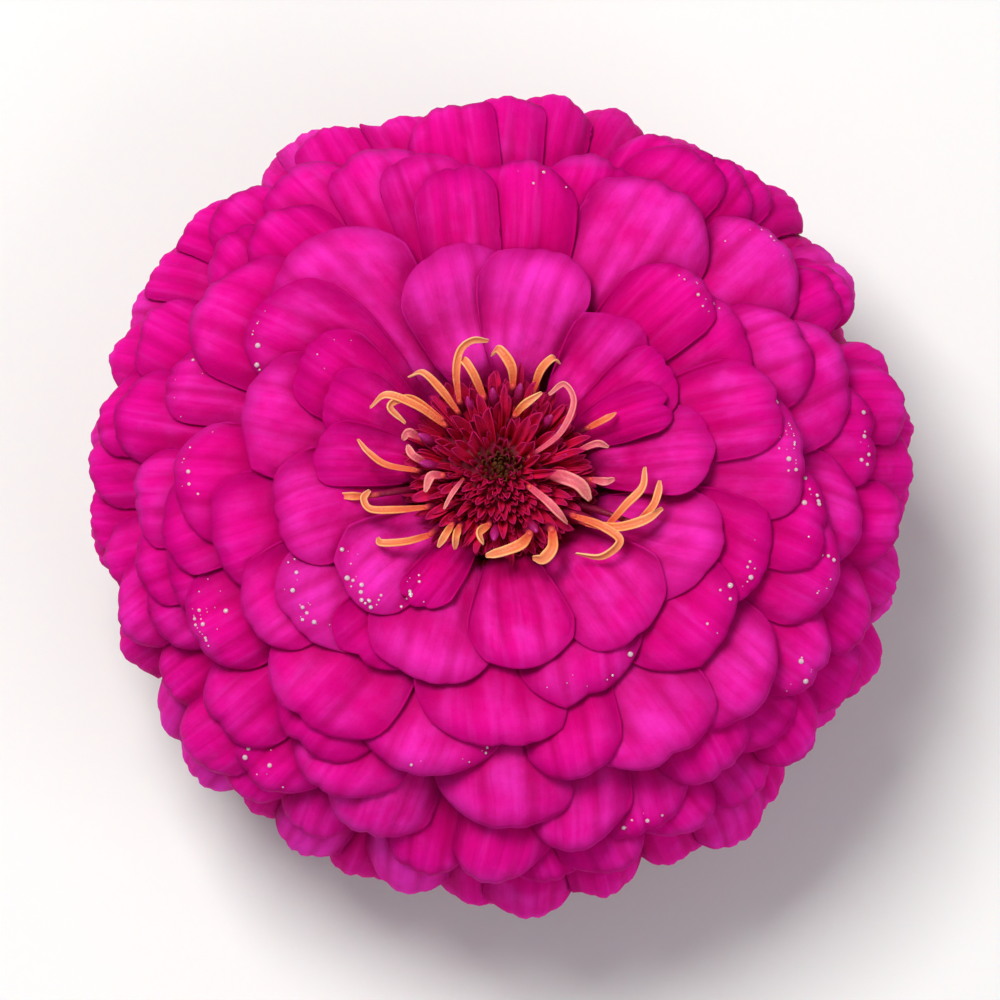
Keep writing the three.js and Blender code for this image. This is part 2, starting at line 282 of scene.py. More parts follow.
def tube(
    path: Array, radii: Array, sides: int, flat: float = 1.0, hollow: float = 0.0, twist: float = 0.0
) -> tuple[Array, list[list[int]], Array, Array]:
    """A closed tube with rounded ends along a path.

    Args:
        path: points along its middle, of shape (n, 3).
        radii: its radius at each.
        sides: how many sides it has.
        flat: its thickness as a share of its width.
        hollow: depth of the channel along one flat side, as a share of its radius.
        twist: how far it turns about its own middle by its end, in radians.

    Returns:
        Its points, its faces, and for each point how far along the tube it is, from 0 to 1, and how
        deep in the channel.
    """
    tangent = unit(np.gradient(path, axis=0))
    ends = [path[:1] - tangent[:1] * radii[0] * 0.6, path[-1:] + tangent[-1:] * radii[-1] * 0.6]
    path = np.vstack([ends[0], path, ends[1]])
    radii = np.concatenate([[0.45 * radii[0]], radii, [0.45 * radii[-1]]])
    tangent = unit(np.gradient(path, axis=0))
    normal = np.empty_like(path)
    across = np.cross(tangent[0], [0.0, 0.0, 1.0])
    if np.linalg.norm(across) < 0.1:
        across = np.cross(tangent[0], [1.0, 0.0, 0.0])
    normal[0] = unit(across)
    for k in range(1, len(path)):
        normal[k] = unit(normal[k - 1] - tangent[k] * np.dot(normal[k - 1], tangent[k]))
    binormal = np.cross(tangent, normal)
    turn = round_steps(sides)
    channel = np.clip(-np.sin(turn), 0, 1) ** 3
    wide, thick = np.cos(turn), flat * np.sin(turn) + hollow * channel
    spin = np.linspace(0, twist, len(path))[:, None]
    first = wide * np.cos(spin) - thick * np.sin(spin)
    second = wide * np.sin(spin) + thick * np.cos(spin)
    ring = path[:, None] + radii[:, None, None] * (
        first[..., None] * normal[:, None] + second[..., None] * binormal[:, None]
    )
    number, walls = ring_walls(len(path), sides)
    caps = [number[0][::-1].tolist(), number[-1].tolist()]
    along = np.repeat(np.linspace(0, 1, len(path)), sides)
    return ring.reshape(-1, 3), walls + caps, along, np.tile(channel, len(path))


def stacked(rings: Array, bottom: float, top: float) -> tuple[Array, list[list[int]]]:
    """A solid through rings of points round the axis.

    Args:
        rings: the rings, the lowest first, of shape (rings, sides, 3).
        bottom: height at which a fan closes the lowest.
        top: height at which a fan closes the highest.

    Returns:
        Its points and its faces.
    """
    number, walls = ring_walls(*rings.shape[:2])
    following = np.roll(number, -1, axis=1)
    poles = np.array([[0, 0, bottom], [0, 0, top]], float)
    low, high = number.size, number.size + 1
    fans = [[low, int(b), int(a)] for a, b in zip(number[0], following[0])]
    fans += [[high, int(a), int(b)] for a, b in zip(number[-1], following[-1])]
    return np.vstack([rings.reshape(-1, 3), poles]), walls + fans


def turned(profile: Sequence[Sequence[float]], sides: int) -> tuple[Array, list[list[int]]]:
    """A solid of revolution.

    Args:
        profile: radius and height of each point from the bottom of the axis to its top.
        sides: how many sides it has.

    Returns:
        Its points and its faces. Both ends are closed by a fan round the axis.
    """
    outline = np.asarray(profile, float)
    rings = on_azimuth(outline[1:-1, :1], outline[1:-1, 1:], round_steps(sides)[None, :])
    return stacked(rings, outline[0, 1], outline[-1, 1])


# ---------------------------------------------------------------- finishes


class Bench:
    """Places the nodes of one material and joins them."""

    def __init__(self, name: str) -> None:
        """Starts a material with an empty tree.

        Args:
            name: the material's name.
        """
        self.material = bpy.data.materials.new(name)
        self.material.use_nodes = True
        self.tree = self.material.node_tree
        self.tree.nodes.clear()
        self.shader = self.add("ShaderNodeBsdfPrincipled")
        output = self.add("ShaderNodeOutputMaterial")
        self.join(self.shader.outputs["BSDF"], output.inputs["Surface"])

    def add(self, kind: str, **settings: object) -> bpy.types.Node:
        """Adds a node.

        Args:
            kind: its type.
            settings: values of its properties, by their names.

        Returns:
            The node.
        """
        node = self.tree.nodes.new(kind)
        for name, value in settings.items():
            setattr(node, name, value)
        return node

    def join(self, source: object, target: bpy.types.NodeSocket) -> None:
        """Links a socket to another, or sets a constant on it.

        Args:
            source: a socket, a number or a colour.
            target: the socket that takes it.
        """
        if isinstance(source, bpy.types.NodeSocket):
            self.tree.links.new(source, target)
        elif isinstance(source, tuple) and target.type == "RGBA":
            target.default_value = (*source, 1.0)
        else:
            target.default_value = source

    def painted(self, name: str) -> tuple[bpy.types.NodeSocket, ...]:
        """The three values painted on the mesh under a name.

        Args:
            name: the name.

        Returns:
            A socket for each value.
        """
        read = self.add("ShaderNodeAttribute", attribute_name=name)
        split = self.add("ShaderNodeSeparateXYZ")
        self.join(read.outputs["Vector"], split.inputs[0])
        return tuple(split.outputs[k] for k in range(3))

    def math(self, operation: str, *values: object) -> bpy.types.NodeSocket:
        """The result of a math node.

        Args:
            operation: what it works out.
            values: sockets or numbers, in the order of its inputs.

        Returns:
            The socket with the result.
        """
        node = self.add("ShaderNodeMath", operation=operation)
        for k, value in enumerate(values):
            self.join(value, node.inputs[k])
        return node.outputs[0]

    def scaled(self, value: object, factor: float) -> bpy.types.NodeSocket:
        """A value times a number."""
        return self.math("MULTIPLY", value, factor)

    def span(self, value: object, low: float, high: float) -> bpy.types.NodeSocket:
        """An eased step from 0, where a value is low, to 1, where it is high.

        Args:
            value: the value.
            low: where the step starts.
            high: where it ends, above low or below it.

        Returns:
            The socket with the step.
        """
        node = self.add("ShaderNodeMapRange", interpolation_type="SMOOTHSTEP")
        self.join(value, node.inputs["Value"])
        node.inputs["From Min"].default_value = min(low, high)
        node.inputs["From Max"].default_value = max(low, high)
        node.inputs["To Min"].default_value = float(low > high)
        node.inputs["To Max"].default_value = float(low < high)
        return node.outputs[0]

    def blend(self, share: object, first: object, second: object) -> bpy.types.NodeSocket:
        """A colour mixed from two.

        Args:
            share: how much of the second is in it, from 0 to 1.
            first: the first colour.
            second: the second colour.

        Returns:
            The socket with the colour.
        """
        node = self.add("ShaderNodeMix", data_type="RGBA")
        self.join(share, node.inputs[0])
        self.join(first, node.inputs[6])
        self.join(second, node.inputs[7])
        return node.outputs[2]

    def tint(self, share: object, strength: float, under: object, over: object) -> bpy.types.NodeSocket:
        """A colour laid over another, by a share times a strength."""
        return self.blend(self.scaled(share, strength), under, over)

    def noise(self, scale: float, detail: float, where: object = None) -> bpy.types.NodeSocket:
        """Noise from 0 to 1.

        Args:
            scale: how many cells it has in a metre, or in one unit of the place.
            detail: how many finer layers it has.
            where: the place that it goes by, or None for the place on the object.

        Returns:
            The socket with the noise.
        """
        if where is None:
            where = self.add("ShaderNodeTexCoord").outputs["Object"]
        node = self.add("ShaderNodeTexNoise")
        self.join(where, node.inputs["Vector"])
        node.inputs["Scale"].default_value = scale
        node.inputs["Detail"].default_value = detail
        return node.outputs["Fac"]

    def colour(self, source: bpy.types.NodeSocket) -> None:
        """Gives the surface its colour."""
        self.join(source, self.shader.inputs["Base Color"])

    def roughen(self, grain: object, change: float, least: float) -> None:
        """Sets the roughness: the least, and a change more where the grain is 1."""
        self.join(self.math("MULTIPLY_ADD", grain, change, least), self.shader.inputs["Roughness"])

    def relief(self, height: object, depth: float) -> None:
        """Gives the surface a fine relief.

        Args:
            height: its height, from 0 to 1.
            depth: what a height of 1 stands for, in metres.
        """
        bump = self.add("ShaderNodeBump")
        bump.inputs["Distance"].default_value = depth
        self.join(height, bump.inputs["Height"])
        self.join(bump.outputs["Normal"], self.shader.inputs["Normal"])

    def gloss(self, **constants: object) -> None:
        """Sets constants on the shader's own sockets, by their names with _ for a space."""
        for name, value in constants.items():
            self.join(value, self.shader.inputs[name.replace("_", " ")])


@dataclass(frozen=True)
class PetalFinish:
    """Velvety magenta petal: veins, grooves, painted shade and sheen, and a paler back.

    Painted shade darkens its grooves, its margin, the hollows between petals and, in part, its base; a
    painted sheen lights its crests and its pale patches and streaks.

    It reads petal_place (along, across, millimetres in from the margin) and petal_kind (tone of the
    petal, which for the crown's petals is mostly painted light and shade; from -1 between others to 1
    on a crest, which sets the painted shade and highlight; 1 on its face and 0 on its back).
    """

    # Colour at the petal's base: partly its own, partly painted shade under the petals above and by the
    # disc.
    heart: Colour = (0.47, 0.0010, 0.085)
    middle: Colour = (0.68, 0.0024, 0.205)
    tip: Colour = (0.74, 0.0036, 0.270)
    # Painted shade along the petal's margin, on its face and on its back.
    margin: Colour = (0.36, 0.0004, 0.105)
    # Painted sheen: the pale shine on the crests, in the light patches and in the pale streaks.
    light: Colour = (0.96, 0.0480, 0.62)
    # Darker colour of the veins, streaks and dark patches, and painted shade in the grooves.
    deep: Colour = (0.45, 0.0005, 0.095)
    # Painted shade in the hollows between petals.
    hollow: Colour = (0.40, 0.0003, 0.085)
    back: Colour = (0.66, 0.085, 0.34)
    claw: Colour = (0.66, 0.58, 0.38)
    vein_pairs: float = 7.0
    groove_place: float = 0.37
    # How far in from the margin the painted shade reaches, in millimetres.
    border: float = 1.5

    def material(self) -> bpy.types.Material:
        """Lays out the finish.

        Returns:
            Its material.
        """
        bench = Bench("petal_velvet")
        along, across, inset = bench.painted("petal_place")
        tone, relief, face = bench.painted("petal_kind")
        wander = bench.noise(260.0, 3.0)
        # Darker towards the base: partly painted shade under the petals above and by the disc.
        colour = bench.blend(bench.span(along, 0.28, 0.62), self.heart, self.middle)
        colour = bench.blend(bench.span(along, 0.70, 0.99), colour, self.tip)
        # Random patches and each petal's tone, which for the crown's petals is mostly painted light and
        # shade: the pale patches take the painted sheen, the dark ones the deep colour.
        patches = bench.math("MULTIPLY_ADD", wander, 0.9, bench.math("SUBTRACT", tone, 0.45))
        colour = bench.tint(bench.span(patches, 0.35, 1.0), 0.6, colour, self.light)
        colour = bench.tint(bench.span(patches, 0.12, -0.45), 0.7, colour, self.deep)
        # Painted shade along the two grooves.
        from_groove = bench.math("SUBTRACT", bench.math("ABSOLUTE", across), self.groove_place)
        groove = bench.span(bench.math("ABSOLUTE", from_groove), 0.17, 0.0)
        groove = bench.math("MULTIPLY", groove, bench.span(wander, 0.25, 0.6))
        colour = bench.tint(groove, 0.42, colour, self.deep)
        lengthwise = bench.add("ShaderNodeCombineXYZ")
        for k, (value, factor) in enumerate(((across, 6.0), (along, 2.4), (tone, 37.0))):
            bench.join(bench.scaled(value, factor), lengthwise.inputs[k])
        streak = bench.noise(1.0, 4.0, lengthwise.outputs[0])
        # Lengthwise streaks of the velvet; the pale ones take the painted sheen colour.
        colour = bench.tint(bench.span(streak, 0.50, 0.72), 0.18, colour, self.light)
        colour = bench.tint(bench.span(streak, 0.48, 0.28), 0.20, colour, self.deep)
        drift = bench.math("MULTIPLY_ADD", wander, 0.16, across)
        wave = bench.math("COSINE", bench.scaled(drift, 2 * math.pi * self.vein_pairs))
        vein = bench.math("MULTIPLY", bench.span(wave, 0.3, 1.0), bench.span(streak, 0.62, 0.40))
        colour = bench.tint(vein, 0.12, colour, self.deep)
        # Painted highlight on the crests and painted shade in the hollows between petals, by how far each
        # point stands out of the petals round it.
        colour = bench.tint(bench.span(relief, 0.15, 0.75), 0.45, colour, self.light)
        colour = bench.tint(bench.span(relief, 0.10, -0.55), 0.65, colour, self.hollow)
        # Painted shade along the margin.
        colour = bench.tint(bench.span(inset, self.border, 0.0), 0.70, colour, self.margin)
        pale = bench.blend(bench.span(along, 0.42, 0.12), self.back, self.claw)
        # Painted shade along the margin of the back as well.
        pale = bench.blend(bench.span(inset, 2.2, 0.2), pale, self.margin)
        pale = bench.tint(vein, 0.4, pale, self.middle)
        bench.colour(bench.blend(face, pale, colour))
        grain = bench.noise(5200.0, 1.0)
        bench.roughen(grain, 0.16, 0.36)
        height = bench.math("MULTIPLY_ADD", grain, 0.13, bench.scaled(streak, 0.50))
        height = bench.math("MULTIPLY_ADD", bench.noise(520.0, 2.0), 0.95, height)
        bench.relief(height, 0.00026)
        bench.gloss(
            Sheen_Weight=0.03,
            Sheen_Roughness=0.40,
            Sheen_Tint=(1.0, 0.10, 0.80),
            Specular_IOR_Level=0.003,
            Subsurface_Weight=0.36,
            Subsurface_Radius=(1.0, 0.08, 0.35),
            Subsurface_Scale=0.0016,
        )
        return bench.material


@dataclass(frozen=True)
class TubeFinish:
    """A fleshy floret, coloured from its foot to its end, with painted shade down its channel.

    It reads floret_place (along it from 0 to 1, tone, depth in the channel).
    """

    name: str
    foot: Colour
    middle: Colour
    end: Colour
    # Painted shade down the channel.
    channel: Colour
    turn: float = 0.5
    roughness: float = 0.40

    def material(self) -> bpy.types.Material:
        """Lays out the finish.

        Returns:
            Its material.
        """
        bench = Bench(self.name)
        along, tone, depth = bench.painted("floret_place")
        blotch = bench.noise(1100.0, 3.0)
        place = bench.math("MULTIPLY_ADD", blotch, 0.35, bench.math("SUBTRACT", along, 0.17))
        colour = bench.blend(bench.span(place, 0.0, self.turn), self.foot, self.middle)
        colour = bench.blend(bench.span(place, self.turn, 0.97), colour, self.end)
        # Painted shade down the channel, by the depth in it.
        colour = bench.tint(bench.span(depth, 0.0, 0.8), 0.7, colour, self.channel)
        ruddy = bench.span(bench.math("ADD", tone, blotch), 1.0, 0.3)
        bench.colour(bench.tint(ruddy, 0.55, colour, self.foot))
        grain = bench.noise(4200.0, 2.0)
        bench.roughen(grain, 0.2, self.roughness - 0.1)
        bench.relief(grain, 0.00010)
        bench.gloss(
            Specular_IOR_Level=0.30,
            Subsurface_Weight=0.25,
            Subsurface_Radius=(1.0, 0.45, 0.15),
            Subsurface_Scale=0.0006,
        )
        return bench.material


@dataclass(frozen=True)
class ScaleFinish:
    """A dull, papery scale with a coloured fringe.

    It reads scale_place (along, across, tone).
    """

    name: str
    foot: Colour
    middle: Colour
    tip: Colour
    fringe: Colour
    fringe_share: float = 0.6
    fringe_width: float = 0.3
    roughness: float = 0.6
    specular: float = 0.12
    grain: float = 3000.0

    def material(self) -> bpy.types.Material:
        """Lays out the finish.

        Returns:
            Its material.
        """
        bench = Bench(self.name)
        along, across, tone = bench.painted("scale_place")
        blotch = bench.noise(700.0, 3.0)
        colour = bench.blend(bench.span(along, 0.0, 0.5), self.foot, self.middle)
        colour = bench.blend(bench.span(along, 0.5, 1.0), colour, self.tip)
        ribs = bench.math("COSINE", bench.scaled(across, 22.0))
        shade = tuple(0.5 * c for c in self.middle)
        colour = bench.tint(bench.span(ribs, 0.2, 1.0), 0.22, colour, shade)
        mood = bench.math("ADD", tone, blotch)
        colour = bench.tint(bench.span(mood, 0.9, 0.3), 0.45, colour, shade)
        far = bench.math("MAXIMUM", bench.math("ABSOLUTE", across), bench.math("POWER", along, 3.0))
        edge = bench.span(far, 1.0 - self.fringe_width, 1.0)
        fringe = bench.math("MULTIPLY", edge, bench.span(mood, 0.6, 1.4))
        bench.colour(bench.tint(fringe, self.fringe_share, colour, self.fringe))
        grain = bench.noise(self.grain, 2.0)
        bench.roughen(grain, 0.2, self.roughness - 0.1)
        bench.relief(bench.math("MULTIPLY_ADD", ribs, 0.3, grain), 0.00007)
        bench.gloss(Specular_IOR_Level=self.specular, Subsurface_Weight=0.05, Subsurface_Scale=0.0004)
        return bench.material


@dataclass(frozen=True)
class FleshFinish:
    """A living surface by place alone: two colours in soft patches, with a fine grain."""

    name: str
    first: Colour
    second: Colour
    patch: float = 350.0
    grain: float = 3500.0
    depth: float = 0.00008
    roughness: float = 0.6

    def material(self) -> bpy.types.Material:
        """Lays out the finish.

        Returns:
            Its material.
        """
        bench = Bench(self.name)
        patch = bench.span(bench.noise(self.patch, 3.0), 0.35, 0.68)
        bench.colour(bench.blend(patch, self.first, self.second))
        grain = bench.noise(self.grain, 2.0)
        bench.roughen(grain, 0.2, self.roughness - 0.1)
        bench.relief(grain, self.depth)
        bench.gloss(Specular_IOR_Level=0.15, Subsurface_Weight=0.1, Subsurface_Scale=0.0008)
        return bench.material


@dataclass(frozen=True)
class DewFinish:
    """Clear water in small drops."""

    def material(self) -> bpy.types.Material:
        """Lays out the finish.

        Returns:
            Its material.
        """
        bench = Bench("dew")
        ripple = bench.noise(1800.0, 1.0)
        bench.relief(ripple, 0.00002)
        bench.roughen(ripple, 0.06, 0.0)
        bench.gloss(
            Base_Color=(1.0, 0.97, 1.0), Transmission_Weight=0.55, IOR=1.34, Specular_IOR_Level=0.9
        )
        return bench.material


# ---------------------------------------------------------------- the dome of petals


@dataclass
class Dome:
    """The form that the petals follow: a seat, and a dome of petal tips over it."""

    rim_radius: float = 44.3
    rim_height: float = 20.0
    rise: float = 23.5
    skirt_drop: float = 30.0
    centre: float = 18.0
    lowest_tip: float = -46.0
    highest_tip: float = 62.0
    root_heights: tuple[float, float] = (26.0, 40.0)
    take_offs: tuple[float, float] = (8.0, 60.0)
    claw_heights: tuple[float, float] = (24.3, 38.0)
    root_sunk: float = 1.3
    claw_sunk: float = 0.6
    root_pull: float = 0.38
    tip_pull: float = 0.42
    skirt_lean: float = 0.45
    root_profile: tuple[tuple[float, float], ...] = (
        (12.0, 23.5), (18.0, 26.5), (21.0, 30.5), (18.0, 36.0), (12.0, 40.0), (8.2, 41.2),
    )
    seat_profile: tuple[tuple[float, float], ...] = (
        (0.0, 23.5), (11.0, 23.5), (12.4, 24.6), (13.0, 27.5), (12.4, 31.0), (11.0, 35.0), (9.4, 38.4),
        (8.2, 40.4), (6.5, 41.2), (0.0, 41.2),
    )

    def tip(self, angle: float) -> Array:
        """A point on the dome of petal tips.

        Args:
            angle: how far up from the rim it is, in radians.

        Returns:
            Its radius and height.
        """
        rise = self.rise if angle > 0 else self.skirt_drop
        radius = self.rim_radius * math.cos(angle)
        return np.array([radius, self.rim_height + rise * math.sin(angle)])

    def down(self, angle: float) -> Array:
        """The way that a petal's tip points.

        Args:
            angle: where the tip lies on the dome, in radians.

        Returns:
            The direction, as radius and height.
        """
        lean = angle if angle > 0 else self.skirt_lean * angle
        rise = self.rise if angle > 0 else self.skirt_drop
        return unit(np.array([self.rim_radius * math.sin(lean), -rise * math.cos(lean)]))

    def seat_radius(self, height: float, profile: Sequence[tuple[float, float]]) -> float:
        """A profile's radius at a height."""
        outer = [point for point in profile if point[0] > 0]
        return float(np.interp(height, [p[1] for p in outer], [p[0] for p in outer]))

    def midline(self, tip_angle: float) -> Array:
        """A petal's middle line, from the end of its claw to its tip.

        Args:
            tip_angle: where its tip lies on the dome, in radians.

        Returns:
            Radius and height of points spaced evenly along it, and the length up to each, of shape
            (n, 3).
        """
        lowest = math.radians(self.lowest_tip)
        rank = (tip_angle - lowest) / (math.radians(self.highest_tip) - lowest)
        tip = self.tip(tip_angle)
        height = mix(*self.root_heights, rank)
        root = np.array([self.seat_radius(height, self.root_profile) - self.root_sunk, height])
        reach = np.linalg.norm(tip - root)
        take_off = math.radians(mix(*self.take_offs, rank))
        rise = np.array([math.cos(take_off), math.sin(take_off)])
        near = root + self.root_pull * reach * rise
        far = tip - self.tip_pull * reach * self.down(tip_angle)
        t = np.linspace(0, 1, 60)[:, None]
        blade = (
            (1 - t) ** 3 * root + 3 * (1 - t) ** 2 * t * near + 3 * (1 - t) * t**2 * far + t**3 * tip
        )
        claw_height = mix(*self.claw_heights, rank)
        claw_radius = self.seat_radius(claw_height, self.seat_profile) - self.claw_sunk
        foot = np.array([claw_radius, claw_height])
        claw = foot + (root - foot) * np.linspace(0, 1, 14)[:-1, None]
        line = np.vstack([claw, blade])
        for _ in range(6):
            line[1:-1] = 0.25 * line[:-2] + 0.5 * line[1:-1] + 0.25 * line[2:]
        length = np.concatenate([[0], np.cumsum(np.linalg.norm(np.diff(line, axis=0), axis=1))])
        even = np.linspace(0, length[-1], 90)
        return np.stack(
            [np.interp(even, length, line[:, 0]), np.interp(even, length, line[:, 1]), even], axis=1
        )


@dataclass(frozen=True)
class Sight:
    """The line of sight that the bloom is seen along in its picture. Lengths are in millimetres."""

    elevation: float = math.radians(80.0)
    lens: float = 250.0
    sensor: float = 36.0
    fill_of_frame: float = 0.80
    disc_height: float = 46.0

    @property
    def middle(self) -> float:
        """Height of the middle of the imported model."""
        return 0.5 * (CAD_BOX[0].z + CAD_BOX[1].z) / MM

    @property
    def distance(self) -> float:
        """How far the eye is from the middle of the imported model."""
        width = (CAD_BOX[1].x - CAD_BOX[0].x) / MM
        return width / self.fill_of_frame * self.lens / self.sensor

    def seen(self, point: Array) -> Array:
        """Where a point is seen.

        Args:
            point: its x, y and height.

        Returns:
            How far right of the middle of the disc it is seen, and how far above it, at the disc's scale.
        """
        sin, cos = math.sin(self.elevation), math.cos(self.elevation)
        x, y, height = point[0], point[1], point[2] - self.middle
        disc = self.disc_height - self.middle
        scale = (self.distance - disc * sin) / (self.distance + y * cos - height * sin)
        return np.array([x * scale, (y * sin + height * cos) * scale - disc * cos])


@dataclass
class Petal:
    """One petal's place on the dome, its size and its character. Angles are in radians."""

    azimuth: float
    tip_angle: float
    half_width: float
    roll: float
    swing: float
    tone: float
    arch: float
    curl: float
    notch: float
    cleft: float
    crease: float
    waves: Array
    lift: float = 0.0
    seen: Array | None = None


@dataclass
class LayerMap:
    """How far out from the dome's middle the petals laid so far reach, in every direction."""

    centre: float
    polar_steps: int = 420
    azimuth_steps: int = 960
    fineness: int = 6
    widest: float = 2.45
    disc_level: float = 30.0
    soft_steps: int = 7
    softened: Array | None = None

    def __post_init__(self) -> None:
        """Starts with nothing laid."""
        self.reach = np.zeros((self.polar_steps, self.azimuth_steps))

    def sphere(self, points: Array) -> tuple[Array, Array]:
        """Where points are, seen from the dome's middle.

        Args:
            points: the points.

        Returns:
            Their directions and distances.
        """
        arm = points - np.array([0.0, 0.0, self.centre])
        distance = np.linalg.norm(arm, axis=-1)
        return arm / distance[..., None], distance

    def cells(self, directions: Array) -> tuple[Array, Array]:
        """Where directions fall on the map.

        Args:
            directions: the directions, of length one.

        Returns:
            The row and the column of each.
        """
        polar = np.arccos(np.clip(directions[..., 2], -1, 1))
        azimuth = np.arctan2(directions[..., 1], directions[..., 0]) % (2 * math.pi)
        row = np.clip((polar / self.widest * self.polar_steps).astype(int), 1, self.polar_steps - 2)
        column = (azimuth / (2 * math.pi) * self.azimuth_steps).astype(int) % self.azimuth_steps
        return row, column

    def read(self, points: Array) -> tuple[Array, Array, Array]:
        """Reads the map under points.

        Args:
            points: the points.

        Returns:
            Their directions and distances, and how far out the layers below them reach.
        """
        directions, distance = self.sphere(points)
        row, column = self.cells(directions)
        return directions, distance, self.reach[row, column]

    def lay(self, surface: Array, half_thickness: float) -> None:
        """Adds a sheet to the layers.

        Args:
            surface: the sheet's grid of points.
            half_thickness: how far its upper face is above them.
        """
        rows, columns = surface.shape[:2]
        fine_rows = np.linspace(0, rows - 1, rows * self.fineness)
        fine_columns = np.linspace(0, columns - 1, columns * (self.fineness + 1))
        i = np.minimum(fine_rows.astype(int), rows - 2)
        j = np.minimum(fine_columns.astype(int), columns - 2)
        a = (fine_rows - i)[:, None, None]
        b = (fine_columns - j)[None, :, None]
        fine = (
            (1 - a) * ((1 - b) * surface[i][:, j] + b * surface[i][:, j + 1])
            + a * ((1 - b) * surface[i + 1][:, j] + b * surface[i + 1][:, j + 1])
        )
        directions, distance = self.sphere(fine)
        row, column = self.cells(directions)
        top = distance + half_thickness
        for down in (-1, 0, 1):
            for on in (-1, 0, 1):
                where = (row + down, (column + on) % self.azimuth_steps)
                np.maximum.at(self.reach, where, top)

    def relief(self, surface: Array, half_thickness: float) -> Array:
        """How far each point of a sheet stands out of its surroundings, once all the layers are laid.

        Args:
            surface: the sheet's grid of points.
            half_thickness: how far its upper face is above them.

        Returns:
            From -1, two millimetres or more below its surroundings, to 1, as much above them.
        """
        if self.softened is None:
            soft = np.where(self.reach > 0, self.reach, self.disc_level)
            for axis in (0, 0, 1, 1):
                steps = range(-self.soft_steps, self.soft_steps + 1)
                soft = sum(np.roll(soft, step, axis) for step in steps) / len(steps)
            self.softened = soft
        directions, distance = self.sphere(surface)
        row, column = self.cells(directions)
        return np.clip(0.5 * (distance + half_thickness - self.softened[row, column]), -1, 1)


def eased_over(needed: Array, passes: int) -> Array:
    """A smooth field that is nowhere below the one needed.

    Args:
        needed: the least value at each point of a grid.
        passes: how many times it is smoothed.

    Returns:
        The field.
    """
    eased = needed.copy()
    for _ in range(passes):
        padded = np.pad(eased, 1, mode="edge")
        rows = 0.25 * padded[:-2] + 0.5 * padded[1:-1] + 0.25 * padded[2:]
        spread = 0.25 * rows[:, :-2] + 0.5 * rows[:, 1:-1] + 0.25 * rows[:, 2:]
        eased = np.maximum(needed, spread)
    return eased


